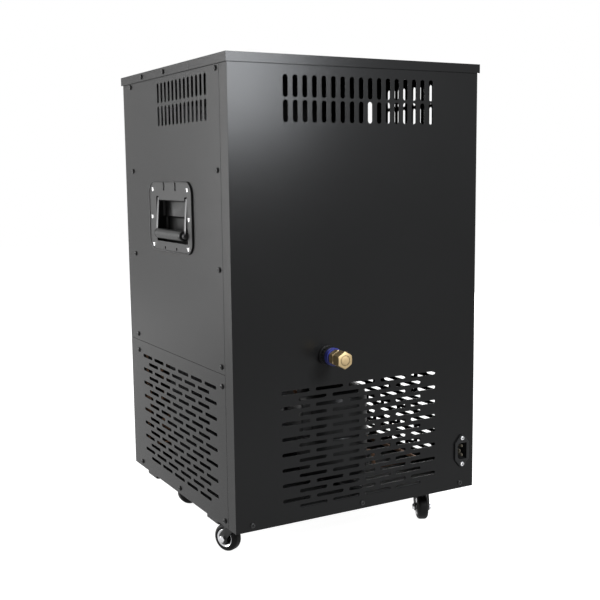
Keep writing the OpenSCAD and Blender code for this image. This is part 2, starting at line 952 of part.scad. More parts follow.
module cabinet_screws() {
    color([0.03, 0.03, 0.03]) cabinet() {
        both_sides() {
            for (p = concat(upper_screws, lower_screws, [flange_screw]))
                translate([half_w, p[0], p[1]])
                    side_screw();
            for (p = lid_screws)
                translate([half_w + rim_t, p[0], p[1]])
                    side_screw();
        }
        for (s = [-1, 1])
            for (p = end_screws)
                translate([p[0], s * half_d, p[1]])
                    rotate(s * 90)
                        side_screw();
    }
}

rivet_places = [for (s = [-1, 1]) for (k = [0:2])
    [s * (k == 1 ? rivet_mid_v : rivet_v), rivet_rows_w[k]]];

// Handle frame: X out of the right side, Y along it, the plate's back at zero
module at_handle() {
    cabinet() translate([half_w, handle_y, handle_z])
        children();
}

module flat_out(thick) {
    rotate([90, 0, 90])
        linear_extrude(thick)
            children();
}

// Outline of the hand opening, widened by a margin
module grasp_shape(more) {
    translate([grasp_back, -grasp_drop])
        square([grasp_w + 2 * more, grasp_h + 2 * more], center = true);
}

// Outlines of the two nooks at the opening's upper corners
module nook_shape(more) {
    for (s = [-1, 1])
        translate([grasp_back + s * (grasp_w - nook_w) / 2, grasp_h / 2 - grasp_drop])
            square([nook_w + 2 * more, 2 * (nook_h + more)], center = true);
}

// Room of the hand recess: deep below the plate's middle, shallower above it
module grasp_room(more) {
    shallow = grasp_d - grasp_step + more;
    low = -grasp_drop - grasp_h / 2 - more;
    translate([-shallow, 0, 0])
        flat_out(shallow)
            grasp_shape(more);
    translate([-grasp_d - more, 0, 0])
        flat_out(grasp_d + more)
            translate([grasp_back - grasp_w / 2 - more, low])
                square([grasp_w + 2 * more, more - low]);
    translate([-nook_d - more, 0, 0])
        flat_out(nook_d + more)
            nook_shape(more);
}

module handle_dish() {
    color([0.2, 0.2, 0.2]) at_handle() difference() {
        union() {
            flat_out(handle_t)
                round_rect(handle_w, handle_h, handle_corner_r);
            flat_out(handle_rim_t)
                difference() {
                    round_rect(handle_w, handle_h, handle_corner_r);
                    round_rect(handle_w - 2 * handle_rim_w, handle_h - 2 * handle_rim_w,
                        handle_corner_r - handle_rim_w);
                }
            grasp_room(grasp_wall);
        }
        grasp_room(0);
        translate([-over, 0, 0])
            flat_out(handle_t + 2 * over) {
                grasp_shape(0);
                nook_shape(0);
                holes(rivet_places, rivet_shank_r + loose_gap);
                for (s = [-1, 1])
                    translate([s * clip_v, clip_w_up])
                        square([clip_w, clip_h], center = true);
                holes([[-clip_v, -stop_down], [clip_v, -stop_down]], stop_r);
            }
        translate([-pivot_in, grasp_back, pivot_up])
            rotate([90, 0, 0])
                cylinder(r = stub_r + run_gap, h = grasp_w + 4 * grasp_wall,
                    center = true);
    }
}

// Bail frame: its pivot at the origin, the arms hanging down
module at_bail() {
    at_handle() translate([-pivot_in, grasp_back, pivot_up])
        rotate([0, -bail_lean, 0])
            children();
}

module bail() {
    half = grasp_w / 2 - arm_gap;
    stub_len = arm_gap + grasp_wall + stub_out;
    color([0.6, 0.6, 0.6]) at_bail() {
        for (s = [0, 1])
            mirror([0, s, 0]) {
                translate([0, half, 0])
                    rotate([90, 0, 0])
                        cylinder(r = barrel_r, h = arm_w);
                translate([barrel_r - arm_t, half - arm_w, -bail_len])
                    cube([arm_t, arm_w, bail_len]);
                translate([0, half + stub_len, 0])
                    rotate([90, 0, 0])
                        cylinder(r = stub_r, h = stub_len + arm_w / 2);
            }
        translate([barrel_r - arm_t / 2, 0, -bail_len])
            rotate([90, 0, 0])
                cylinder(r = rod_r, h = 2 * half, center = true);
    }
}

module grip() {
    color([0.05, 0.05, 0.05]) at_bail()
        translate([barrel_r - arm_t / 2, 0, -bail_len])
            rotate([90, 0, 0])
                difference() {
                    cylinder(r = grip_r, h = grasp_w - 2 * (arm_gap + arm_w) - 2 * lift_gap,
                        center = true);
                    cylinder(r = rod_r + run_gap, h = grasp_w, center = true);
                }
}

module handle_dish_right() {
    handle_dish();
}

module handle_dish_left() {
    mirror([1, 0, 0])
        handle_dish();
}

module bail_right() {
    bail();
}

module bail_left() {
    mirror([1, 0, 0])
        bail();
}

module grip_right() {
    grip();
}

module grip_left() {
    mirror([1, 0, 0])
        grip();
}

module handle_rivets() {
    color([0.8, 0.8, 0.8]) both_sides() at_handle()
        for (p = rivet_places)
            translate([handle_t, p[0], p[1]])
                rotate([0, 90, 0]) {
                    cylinder(r1 = rivet_r, r2 = rivet_shank_r, h = rivet_h);
                    translate([0, 0, -rivet_shank_len])
                        cylinder(r = rivet_shank_r, h = rivet_shank_len, $fn = 24);
                }
}

// Inlet frame: X across, Y out of the rear face, Z up
module at_inlet() {
    cabinet() translate([inlet_x, half_d, inlet_z])
        children();
}

module back_out(thick) {
    rotate([90, 0, 180])
        linear_extrude(thick)
            children();
}

module inlet_flange() {
    x = inlet_flange_w / 2;
    z = inlet_flange_h / 2;
    polygon([[-x, -z / 2], [-x, z / 2], [-inlet_end_r, z - inlet_end_r / 2],
        [inlet_end_r, z - inlet_end_r / 2], [x, z / 2], [x, -z / 2],
        [inlet_end_r, -z + inlet_end_r / 2], [-inlet_end_r, -z + inlet_end_r / 2]]);
    for (s = [-1, 1])
        translate([0, s * (z - inlet_end_r)])
            circle(inlet_end_r);
}

module inlet_cavity() {
    x = inlet_cav_w / 2;
    z = inlet_cav_h / 2;
    c = inlet_cav_cut;
    polygon([[x, -z], [x, z], [-x + c, z], [-x, z - c], [-x, -z + c], [-x + c, -z]]);
}

pin_places = [[-pin_off, -pin_spread], [-pin_off, pin_spread], [pin_off, 0]];

module inlet_body() {
    color([0.05, 0.05, 0.05]) at_inlet() difference() {
        union() {
            back_out(inlet_flange_t)
                inlet_flange();
            translate([0, -inlet_body_d, 0])
                back_out(inlet_body_d)
                    square([inlet_body_w, inlet_body_h], center = true);
        }
        translate([0, inlet_flange_t - inlet_cav_d, 0])
            back_out(inlet_cav_d + over)
                inlet_cavity();
        for (p = pin_places)
            translate([p[0], 0, p[1]])
                cube([pin_w + 2 * run_gap, 2 * (inlet_body_d + over),
                    pin_h + 2 * run_gap], center = true);
        for (s = [-1, 1])
            translate([0, -over, s * inlet_pitch / 2])
                back_out(inlet_flange_t + 2 * over)
                    circle(inlet_shank_r + loose_gap, $fn = 24);
    }
}

module inlet_pins() {
    tip = inlet_flange_t - inlet_cav_d + pin_len;
    color([0.8, 0.7, 0.4]) at_inlet()
        for (p = pin_places)
            translate([p[0] - pin_w / 2, -inlet_body_d - pin_tail, p[1] - pin_h / 2])
                cube([pin_w, inlet_body_d + pin_tail + tip, pin_h]);
}

module inlet_screws() {
    color([0.85, 0.85, 0.85]) at_inlet()
        for (s = [-1, 1])
            translate([0, inlet_flange_t, s * inlet_pitch / 2])
                rotate([-90, 0, 0]) {
                    cylinder(r1 = inlet_screw_r, r2 = inlet_shank_r, h = inlet_screw_h);
                    translate([0, 0, -inlet_flange_t - sheet_t - screw_len / 2])
                        cylinder(r = inlet_shank_r,
                            h = inlet_flange_t + sheet_t + screw_len / 2, $fn = 24);
                }
}

// Drain frame: Z out of the rear face along the fitting's axis
module at_drain() {
    cabinet() translate([drain_x, half_d, drain_z])
        rotate([-90, 0, 0])
            children();
}

module bored(r_out, r_in, len) {
    difference() {
        cylinder(r = r_out, h = len);
        translate([0, 0, -over])
            cylinder(r = r_in, h = len + 2 * over);
    }
}

// Depth of the liner's rear wall behind the rear face of the cabinet
liner_back = half_d - tank_y - tank_d / 2;
hex_start = drain_nut_len + drain_ring_len;
plug_start = drain_reach - plug_hex_len;

module drain_fitting() {
    color([0.75, 0.62, 0.35]) at_drain() difference() {
        union() {
            translate([0, 0, -liner_back])
                cylinder(r = drain_pipe_r, h = liner_back + hex_start);
            translate([0, 0, hex_start])
                rotate(30)
                    cylinder(r = drain_hex_r, h = drain_hex_len, $fn = 6);
        }
        translate([0, 0, -liner_back - over])
            cylinder(r = drain_bore_r,
                h = liner_back + hex_start + drain_hex_len + 2 * over);
    }
}

module drain_nut() {
    color([0.06, 0.06, 0.06]) at_drain()
        bored(drain_nut_r, drain_pipe_r + loose_gap, drain_nut_len);
}

module drain_ring() {
    color([0.15, 0.22, 0.55]) at_drain() translate([0, 0, drain_nut_len])
        difference() {
            bored(drain_ring_r, drain_pipe_r + loose_gap, drain_ring_len);
            translate([0, 0, (drain_ring_len - drain_groove) / 2])
                difference() {
                    cylinder(r = drain_ring_r + over, h = drain_groove);
                    cylinder(r = drain_ring_r - drain_groove / 2, h = drain_groove);
                }
        }
}

module drain_plug() {
    color([0.8, 0.68, 0.4]) at_drain() {
        translate([0, 0, plug_start - plug_face])
            cylinder(r = plug_hex_r * cos(30), h = plug_face);
        translate([0, 0, plug_start])
            rotate(30)
                cylinder(r = plug_hex_r, h = plug_hex_len, $fn = 6);
        translate([0, 0, plug_start - plug_face - plug_shank_len])
            cylinder(r = drain_bore_r - run_gap, h = plug_shank_len);
    }
}

module tank_box(wall, low, high) {
    translate([0, tank_y, (low + high) / 2])
        cube([tank_w + 2 * wall, tank_d + 2 * wall, high - low], center = true);
}

module drain_hole() {
    translate([drain_x, half_d, drain_z])
        rotate([90, 0, 0])
            cylinder(r = drain_pipe_r + loose_gap, h = liner_back + over);
}

module tank_liner() {
    color([0.7, 0.7, 0.72]) cabinet() difference() {
        tank_box(liner_t, tank_floor_z - liner_t, tank_rim_z);
        tank_box(0, tank_floor_z, tank_rim_z + over);
        drain_hole();
    }
}

module tank_foam() {
    color([0.9, 0.88, 0.8]) cabinet() difference() {
        tank_box(liner_t + foam_t, tank_floor_z - liner_t - foam_t, tank_rim_z);
        tank_box(liner_t, tank_floor_z - liner_t, tank_rim_z + over);
        drain_hole();
    }
}

// Ends of the evaporator tube, as it comes up through the cover
coil_middle = [coil_x, tank_y + coil_y, 0];
coil_low = tank_floor_z + coil_floor_gap + coil_bend_r;
coil_sweep = 360 * coil_turns + coil_extra;
coil_high = coil_low + coil_pitch * coil_sweep / 360;

function coil_radius(a) = coil_r + coil_outset * max(0, a - coil_sweep + 180) / 180;
function coil_turn_point(a) = coil_middle
    + coil_radius(a) * [cos(coil_start + a), sin(coil_start + a), 0]
    + [0, 0, coil_high - coil_pitch * a / 360];
function coil_tangent(a) = [-sin(coil_start + a), cos(coil_start + a), 0];

// The upper end bends down into the first turn, and the lower end bends up outside the coil
coil_route = concat(
    [for (z = [coil_top_z, coil_high + 2 * coil_bend_r])
        coil_turn_point(0) - coil_bend_r * coil_tangent(0) + [0, 0, z - coil_high]],
    [for (t = [0:15:75])
        coil_turn_point(0) - coil_bend_r * sin(90 - t) * coil_tangent(0)
            + coil_bend_r * (1 - sin(t)) * [0, 0, 1]],
    [for (k = [0:coil_steps * coil_sweep / 360])
        coil_turn_point(360 * k / coil_steps)],
    [for (t = [15:15:90])
        coil_turn_point(coil_sweep) + coil_bend_r * sin(t) * coil_tangent(coil_sweep)
            + coil_bend_r * (1 - cos(t)) * [0, 0, 1]],
    [coil_turn_point(coil_sweep) + coil_bend_r * coil_tangent(coil_sweep)
        + [0, 0, coil_top_z - coil_high + coil_pitch * coil_sweep / 360]]);
coil_ends = [coil_route[0], coil_route[len(coil_route) - 1]];

module evaporator_coil() {
    color([0.72, 0.42, 0.25]) cabinet()
        tube(coil_route, coil_tube_r, coil_sides);
}

module pipe_hole(x, y, r) {
    translate([x, y, tank_rim_z - over])
        cylinder(r = r + loose_gap, h = cover_t + 2 * over);
}

module tank_cover() {
    color([0.15, 0.15, 0.15]) cabinet() difference() {
        tank_box(liner_t + foam_t, tank_rim_z, cover_top);
        pipe_hole(filler_x, filler_y, filler_r);
        pipe_hole(pump_x, pump_y, riser_r);
        pipe_hole(return_x, return_y, riser_r);
        for (p = coil_ends)
            pipe_hole(p[0], p[1], coil_tube_r);
    }
}

module filler_cap() {
    color([0.08, 0.08, 0.08]) cabinet()
        translate([filler_x, filler_y, cover_top]) {
            translate([0, 0, -cap_plug_len])
                cylinder(r = filler_r - lift_gap, h = cap_plug_len);
            cylinder(r = filler_r + cap_rim, h = cap_t);
            translate([0, 0, cap_t])
                cylinder(r1 = cap_knob_foot, r2 = cap_knob_r, h = cap_knob_h);
        }
}

module glycol_pump() {
    color([0.1, 0.12, 0.16]) cabinet() translate([pump_x, pump_y, tank_floor_z]) {
        translate([-pump_foot_w / 2, -pump_foot_w / 2, 0])
            cube([pump_foot_w, pump_foot_w, pump_foot_h]);
        cylinder(r = pump_r, h = pump_h);
        translate([0, 0, pump_h])
            bored(pump_neck_r, riser_r + loose_gap, pump_neck_h);
    }
}

module riser(low, high) {
    difference() {
        union() {
            translate([0, 0, low])
                cylinder(r = riser_r, h = high - low);
            translate([0, 0, cover_top])
                cylinder(r = collar_r, h = collar_h);
        }
        translate([0, 0, low - over])
            cylinder(r = riser_r - riser_wall, h = high - low + 2 * over);
    }
}

module glycol_risers() {
    color([0.75, 0.75, 0.76]) cabinet() {
        translate([pump_x, pump_y, 0])
            riser(tank_floor_z + pump_h, cover_top + riser_up);
        translate([return_x, return_y, 0])
            riser(tank_rim_z - return_dip, cover_top + riser_up);
    }
}

module hose_grommet() {
    color([0.04, 0.04, 0.04]) cabinet()
        translate([-half_w - grommet_lip_t, grommet_y, grommet_z])
            rotate([0, 90, 0])
                difference() {
                    union() {
                        cylinder(r = grommet_r + grommet_wall - loose_gap,
                            h = sheet_t + 2 * grommet_lip_t);
                        for (z = [0, grommet_lip_t + sheet_t])
                            translate([0, 0, z])
                                cylinder(r = grommet_r + grommet_wall + grommet_lip,
                                    h = grommet_lip_t);
                    }
                    translate([0, 0, -over])
                        cylinder(r = grommet_r, h = sheet_t + 2 * grommet_lip_t + 2 * over);
                }
}

// Half outline of the compressor's shell: two drawn cups welded at a flange
module shell_outline(low) {
    r = compressor_r;
    intersection() {
        union() {
            translate([0, low])
                square([r - dome_r, compressor_h]);
            translate([0, low + dome_r])
                square([r, compressor_h - 2 * dome_r]);
            for (z = [low + dome_r, low + compressor_h - dome_r])
                translate([r - dome_r, z])
                    circle(dome_r);
        }
        translate([0, low])
            square([r + over, compressor_h]);
    }
    translate([0, low + weld_z])
        square([r + weld_out, weld_t]);
}

foot_z = pan_t + foot_h;
foot_places = [for (a = [90, 210, 330]) foot_reach * [cos(a), sin(a)]];

module compressor() {
    low = foot_z + foot_plate_t;
    color([0.05, 0.05, 0.05]) cabinet()
        translate([compressor_x, compressor_y, 0]) {
            rotate_extrude()
                shell_outline(low);
            translate([0, 0, foot_z])
                linear_extrude(foot_plate_t)
                    difference() {
                        union() {
                            circle(compressor_r - dome_r);
                            for (p = foot_places)
                                rotate(atan2(p[1], p[0]))
                                    translate([0, -foot_r])
                                        square([foot_reach, 2 * foot_r]);
                            for (p = foot_places)
                                translate(p)
                                    circle(foot_r);
                        }
                        for (p = foot_places)
                            translate(p)
                                circle(foot_hole_r + loose_gap);
                    }
            translate([compressor_r - terminal_d / 2, -terminal_w / 2, low + weld_z + weld_t])
                cube([terminal_d, terminal_w, terminal_h]);
        }
}

module compressor_feet() {
    color([0.02, 0.02, 0.02]) cabinet()
        for (p = foot_places)
            translate([compressor_x + p[0], compressor_y + p[1], pan_t]) {
                cylinder(r = foot_r, h = foot_h);
                cylinder(r = foot_hole_r, h = foot_h + 2 * foot_plate_t);
            }
}

function pass_z(k) = condenser_z + k * condenser_pitch;

module condenser_tubes() {
    top = condenser_passes - 1;
    color([0.75, 0.42, 0.22]) cabinet() translate([0, condenser_y, 0]) {
        for (k = [0:top])
            translate([0, 0, pass_z(k)])
                rotate([0, 90, 0])
                    cylinder(r = condenser_tube_r, h = 2 * condenser_half,
                        center = true);
        for (k = [0:top - 1])
            translate([(k % 2 == 0 ? -1 : 1) * condenser_half, 0,
                    pass_z(k) + condenser_pitch / 2])
                rotate([90, k % 2 == 0 ? -90 : 90, 0])
                    rotate_extrude(angle = 180)
                        translate([condenser_pitch / 2, 0])
                            circle(condenser_tube_r);
        translate([condenser_half, 0, pass_z(0)])
            rotate([0, 90, 0])
                cylinder(r = condenser_tube_r, h = condenser_stub);
        translate([-condenser_half - condenser_stub, 0, pass_z(top)])
            rotate([0, 90, 0])
                cylinder(r = condenser_tube_r, h = condenser_stub);
    }
}

module fin_sheet(thick, low, high) {
    rotate([90, 0, 90])
        linear_extrude(thick, center = true)
            difference() {
                translate([-fin_d / 2, low])
                    square([fin_d, high - low]);
                holes([for (k = [0:condenser_passes - 1]) [0, pass_z(k)]],
                    condenser_tube_r + run_gap);
            }
}

module condenser_fins() {
    low = condenser_z - fin_over;
    high = pass_z(condenser_passes - 1) + fin_over;
    span = 2 * (condenser_half - plate_t) / (fin_count + 1);
    color([0.75, 0.76, 0.78]) cabinet() translate([0, condenser_y, 0]) {
        for (i = [0:fin_count - 1])
            translate([(i - (fin_count - 1) / 2) * span, 0, 0])
                fin_sheet(fin_t, low, high);
        for (s = [-1, 1])
            translate([s * (condenser_half - plate_t / 2), 0, 0])
                fin_sheet(plate_t, pan_t, high);
    }
}

module fan_shroud() {
    high = pass_z(condenser_passes - 1) + fin_over;
    ring_r = fan_r + blade_gap;
    color([0.15, 0.15, 0.15]) cabinet() difference() {
        union() {
            translate([-shroud_w / 2, shroud_y, pan_t])
                cube([shroud_w, shroud_t, high - pan_t]);
            translate([0, shroud_y, fan_z])
                rotate([-90, 0, 0])
                    cylinder(r = ring_r + shroud_t, h = shroud_ring_h);
        }
        translate([0, shroud_y - over, fan_z])
            rotate([-90, 0, 0])
                cylinder(r = ring_r, h = shroud_ring_h + 2 * over);
    }
}

motor_y = fan_y + hub_len / 2 + motor_gap;

module fan_motor() {
    color([0.25, 0.25, 0.27]) cabinet() translate([0, motor_y, fan_z]) {
        rotate([-90, 0, 0]) {
            cylinder(r = motor_r, h = motor_len);
            translate([0, 0, -motor_gap - hub_len])
                cylinder(r = shaft_r, h = motor_gap + hub_len);
        }
        translate([-bracket_w / 2, motor_len, pan_t - fan_z])
            cube([bracket_w, bracket_t, fan_z - pan_t + motor_r]);
        translate([-bracket_w / 2, motor_len - bracket_w / 2, pan_t - fan_z])
            cube([bracket_w, bracket_w / 2, bracket_t]);
    }
}

// One blade: a slice of a curved sheet, set at its pitch and trimmed to the fan's radius
module blade() {
    intersection() {
        rotate([blade_pitch, 0, 0])
            translate([0, -blade_len, -blade_t / 2])
                cube([fan_r, 2 * blade_len, blade_t]);
        difference() {
            cylinder(r = fan_r, h = blade_len, center = true);
            cylinder(r = hub_r - blade_root_gap, h = blade_len + over, center = true);
        }
    }
}

module fan_blades() {
    color([0.6, 0.62, 0.64]) cabinet() translate([0, fan_y, fan_z])
        rotate([-90, 0, 0])
            difference() {
                union() {
                    cylinder(r = hub_r, h = hub_len, center = true);
                    for (k = [0:fan_blade_count - 1])
                        rotate(360 * k / fan_blade_count)
                            blade();
                }
                cylinder(r = shaft_r + run_gap, h = hub_len + over, center = true);
            }
}

// Suction, liquid and discharge lines, and the drier in the liquid line
line_high = coil_top_z + line_bend + line_rise;
pass_top = pass_z(condenser_passes - 1);
suction_x = compressor_x - compressor_r;
discharge_end = compressor_y - compressor_r;
suction_route = [coil_ends[0], [coil_ends[0][0], coil_ends[0][1], line_high],
    [-line_x, coil_ends[0][1], line_high], [-line_x, line_y, line_high],
    [-line_x, line_y, line_z], [-line_x, compressor_y, line_z],
    [suction_x - suction_stub, compressor_y, line_z],
    [suction_x - suction_stub, compressor_y, 3 * line_z],
    [suction_x, compressor_y, 3 * line_z]];
liquid_route = [coil_ends[1], [coil_ends[1][0], coil_ends[1][1], line_high],
    [coil_ends[1][0], line_y, line_high], [line_x, line_y, line_high],
    [line_x, line_y, condenser_z], [condenser_half + condenser_stub, line_y, condenser_z]];
discharge_route = [[-condenser_half - condenser_stub, condenser_y, pass_top],
    [-discharge_x, condenser_y, pass_top], [-discharge_x, discharge_y, pass_top],
    [compressor_x, discharge_y, pass_top],
    [compressor_x, discharge_end - discharge_stub, pass_top],
    [compressor_x, discharge_end - discharge_stub, pass_top - discharge_drop],
    [compressor_x, discharge_end, pass_top - discharge_drop]];

module refrigerant_lines() {
    color([0.75, 0.42, 0.22]) cabinet() {
        for (route = [suction_route, liquid_route, discharge_route])
            tube(rounded(route, line_bend, 4), line_r, 8);
        translate([line_x, line_y, pass_z(2)])
            difference() {
                cylinder(r = drier_r, h = drier_len);
                translate([0, 0, -over])
                    cylinder(r = line_r + loose_gap, h = drier_len + 2 * over);
            }
    }
}

module control_box() {
    color([0.2, 0.2, 0.22]) cabinet() translate([box_x, box_y, cover_top])
        cube([box_w, box_d, box_h]);
}

// Front frame: X across, Y up, Z out of the front face
module at_front(x) {
    cabinet() translate([x, -half_d, controller_z])
        rotate([90, 0, 0])
            children();
}

key_places = [for (k = [-1:1]) [key_x, k * key_pitch]];

module controller() {
    color([0.07, 0.07, 0.07])
        at_front(0)
            difference() {
                union() {
                    linear_extrude(bezel_t)
                        round_rect(bezel_w, bezel_h, bezel_t);
                    translate([-controller_w / 2, -controller_h / 2, -controller_d])
                        cube([controller_w, controller_h, controller_d]);
                }
                translate([window_x, 0, bezel_t + over / 2 - window_t / 2])
                    cube([window_w, window_h, over + window_t], center = true);
                translate([0, 0, bezel_t - key_well])
                    linear_extrude(key_well + over)
                        holes(key_places, key_r + loose_gap);
            }
}

module display_window() {
    color([0.02, 0.02, 0.02])
        at_front(0)
            translate([window_x, 0, bezel_t - window_t / 2])
                cube([window_w - 2 * loose_gap, window_h - 2 * loose_gap, window_t],
                    center = true);
}

module key(k) {
    color([0.6, 0.6, 0.6])
        at_front(0)
            translate([key_places[k][0], key_places[k][1], bezel_t + key_proud - key_len])
                cylinder(r = key_r, h = key_len, $fn = 24);
}

module key_top() {
    key(2);
}

module key_middle() {
    key(1);
}

module key_bottom() {
    key(0);
}

// The rocker's opening leaves it room to swing, and the body's walls hold its stubs
switch_hole_w = rocker_w + 2 * (lift_gap + switch_wall);
switch_hole_h = 2 * (rocker_r + lift_gap + switch_wall);

module switch_frame() {
    color([0.05, 0.05, 0.05])
        at_front(switch_x)
            difference() {
                union() {
                    linear_extrude(switch_frame_t)
                        round_rect(switch_frame_w, switch_frame_h, switch_frame_t);
                    translate([-switch_hole_w / 2, -switch_hole_h / 2, -switch_body_d])
                        cube([switch_hole_w, switch_hole_h, switch_body_d]);
                }
                translate([-rocker_w / 2 - lift_gap, -rocker_r - lift_gap,
                        -rocker_in - rocker_r - lift_gap])
                    cube([rocker_w + 2 * lift_gap, 2 * (rocker_r + lift_gap),
                        rocker_in + rocker_r + 2 * lift_gap + over + switch_frame_t]);
                translate([0, 0, -rocker_in])
                    rotate([0, 90, 0])
                        cylinder(r = rocker_stub_r + run_gap,
                            h = switch_hole_w + over, center = true);
            }
}

module rocker() {
    color([0.03, 0.03, 0.03])
        at_front(switch_x)
            translate([0, 0, -rocker_in])
                rotate([rocker_tilt, 0, 0]) {
                    rotate([0, 90, 0])
                        cylinder(r = rocker_stub_r,
                            h = rocker_w + 2 * (lift_gap + rocker_stub_len), center = true);
                    intersection() {
                        rotate([0, 90, 0])
                            cylinder(r = rocker_r, h = rocker_w, center = true);
                        translate([0, 0, rocker_flat - rocker_r])
                            cube([rocker_w + over, 2 * rocker_r + over, 2 * rocker_r],
                                center = true);
                    }
                }
}

module fork_front_left() {
    fork(0);
}

module fork_front_right() {
    fork(1);
}

module fork_rear_left() {
    fork(2);
}

module fork_rear_right() {
    fork(3);
}

module wheel_front_left() {
    wheel(0);
}

module wheel_front_right() {
    wheel(1);
}

module wheel_rear_left() {
    wheel(2);
}

module wheel_rear_right() {
    wheel(3);
}

base_pan();
corner_posts();
caster_rails();
caster_plates();
tank_shelf();
rear_panel();
front_panel();
side_panel_upper_left();
side_panel_upper_right();
side_panel_lower_left();
side_panel_lower_right();
top_cover();
cabinet_screws();
handle_dish_left();
handle_dish_right();
handle_rivets();
inlet_body();
inlet_pins();
inlet_screws();
drain_fitting();
drain_nut();
drain_ring();
tank_liner();
tank_foam();
tank_cover();
evaporator_coil();
glycol_pump();
glycol_risers();
hose_grommet();
compressor();
compressor_feet();
condenser_tubes();
condenser_fins();
fan_shroud();
fan_motor();
refrigerant_lines();
control_box();
controller();
display_window();
switch_frame();
hatch();
fan_blades();
bail_left();
bail_right();
grip_left();
grip_right();
drain_plug();
filler_cap();
key_top();
key_middle();
key_bottom();
rocker();
fork_front_left();
fork_front_right();
fork_rear_left();
fork_rear_right();
wheel_front_left();
wheel_front_right();
wheel_rear_left();
wheel_rear_right();
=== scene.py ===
import json
import math
import bmesh
import bpy
from mathutils import Matrix, Vector


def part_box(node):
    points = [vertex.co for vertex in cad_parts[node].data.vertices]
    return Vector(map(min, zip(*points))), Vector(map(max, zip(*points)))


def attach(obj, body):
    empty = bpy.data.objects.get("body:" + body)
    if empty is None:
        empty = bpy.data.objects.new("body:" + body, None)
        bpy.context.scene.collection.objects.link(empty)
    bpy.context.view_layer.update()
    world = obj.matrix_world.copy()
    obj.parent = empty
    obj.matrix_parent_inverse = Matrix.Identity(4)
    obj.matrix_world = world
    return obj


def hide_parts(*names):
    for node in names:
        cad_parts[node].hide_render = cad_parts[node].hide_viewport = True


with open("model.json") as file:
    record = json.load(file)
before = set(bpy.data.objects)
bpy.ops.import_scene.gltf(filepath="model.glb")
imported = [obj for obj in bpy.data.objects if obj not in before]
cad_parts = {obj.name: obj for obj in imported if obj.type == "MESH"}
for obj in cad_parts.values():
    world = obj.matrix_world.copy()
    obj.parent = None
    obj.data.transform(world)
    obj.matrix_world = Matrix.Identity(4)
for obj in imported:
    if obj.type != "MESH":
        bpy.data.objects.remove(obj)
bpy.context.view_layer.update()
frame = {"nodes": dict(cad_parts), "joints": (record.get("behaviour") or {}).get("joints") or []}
nodes = frame["nodes"]
joints = {joint["name"]: joint for joint in frame["joints"]}
print("frame loaded:", len(nodes), "nodes")

mm = 0.001  # shapes are drawn in millimetres in the CAD's frame and scaled at the end
smoothBelow = 38.0


def nodeBox(node):
    lo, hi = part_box(node)
    return lo / mm, hi / mm


def middle(box):
    return (box[0] + box[1]) / 2


def jointPlace(name):
    return Vector(joints[name]["pos_m"]) / mm


# rear_left becomes RearLeft
def title(name):
    return "".join(word.title() for word in name.split("_"))


# one box for each separate solid of a CAD node
def solidBoxes(node):
    bm = bmesh.new()
    bm.from_mesh(nodes[node].data)
    bmesh.ops.remove_doubles(bm, verts=bm.verts, dist=1e-6)
    left, boxes = set(bm.verts), []
    while left:
        stack, seen = [left.pop()], []
        while stack:
            vert = stack.pop()
            seen.append(vert.co / mm)
            for edge in vert.link_edges:
                other = edge.other_vert(vert)
                if other in left:
                    left.remove(other)
                    stack.append(other)
        boxes.append([Vector([pick(c[k] for c in seen) for k in range(3)]) for pick in (min, max)])
    bm.free()
    return sorted(boxes, key=lambda box: [round(c, 2) for c in box[0]])


# local Z points along the direction
def aim(place, direction):
    spin = Vector(direction).to_track_quat("Z", "Y").to_matrix().to_4x4()
    return Matrix.Translation(Vector(place)) @ spin


# local X and Y along two square directions
def axes(place, xAxis, yAxis):
    x, y = Vector(xAxis).normalized(), Vector(yAxis).normalized()
    turn = Matrix((x, y, x.cross(y))).transposed().to_4x4()
    return Matrix.Translation(Vector(place)) @ turn


def turnZ(angle):
    return Matrix.Rotation(math.radians(angle), 4, "Z")


def arc(radius, angles, cx=0.0, cy=0.0):
    return [(cx + radius * math.cos(math.radians(a)), cy + radius * math.sin(math.radians(a)))
            for a in angles]


def ringOutline(radius, cx=0.0, cy=0.0, steps=20):
    return arc(radius, [360 * k / steps for k in range(steps)], cx, cy)


def roundOutline(w, h, r, steps=6, cx=0.0, cy=0.0):
    points = []
    for quarter, (x, y) in enumerate(((1, 1), (-1, 1), (-1, -1), (1, -1))):
        points += arc(r, [90 * quarter + 90 * k / steps for k in range(steps + 1)],
                      cx + x * (w / 2 - r), cy + y * (h / 2 - r))
    return points


def atHeight(outline, z):
    return [(x, y, z) for x, y in outline]


# profiles are lists of (radius, height)
def lifted(profile, height):
    return [(r, h + height) for r, h in profile]


def mirrored(profile):
    return profile + [(r, -h) for r, h in profile[::-1]]


def rodProfile(radius, low, high, soft=0.0):
    if not soft:
        return [(0, low), (radius, low), (radius, high), (0, high)]
    return [(0, low), (radius - soft, low), (radius, low + soft), (radius, high - soft),
            (radius - soft, high), (0, high)]


# a ring's insets from its radius, at heights from its start and then from its end
def ringProfile(radius, length, bore, start, end):
    return ([(bore, 0)] + [(radius - inset, h) for inset, h in start]
            + [(radius - inset, length - h) for inset, h in end] + [(bore, length)])


# a route through corners, each rounded over the length bend
def roundedRoute(corners, bend, steps=6):
    points = [Vector(p) for p in corners]
    out = [points[0]]
    for a, b, c in zip(points, points[1:], points[2:]):
        start, end = b + (a - b).normalized() * bend, b + (c - b).normalized() * bend
        for k in range(steps + 1):
            t = k / steps
            out.append((1 - t) ** 2 * start + 2 * t * (1 - t) * b + t * t * end)
    return out + [points[-1]]


def linked(name, data):
    obj = bpy.data.objects.new(name, data)
    bpy.context.scene.collection.objects.link(obj)
    return obj


def toMesh(name, bm):
    mesh = bpy.data.meshes.new(name)
    bm.to_mesh(mesh)
    bm.free()
    return mesh


def evaluatedMesh(obj):
    bpy.context.view_layer.update()
    graph = bpy.context.evaluated_depsgraph_get()
    return bpy.data.meshes.new_from_object(obj.evaluated_get(graph))


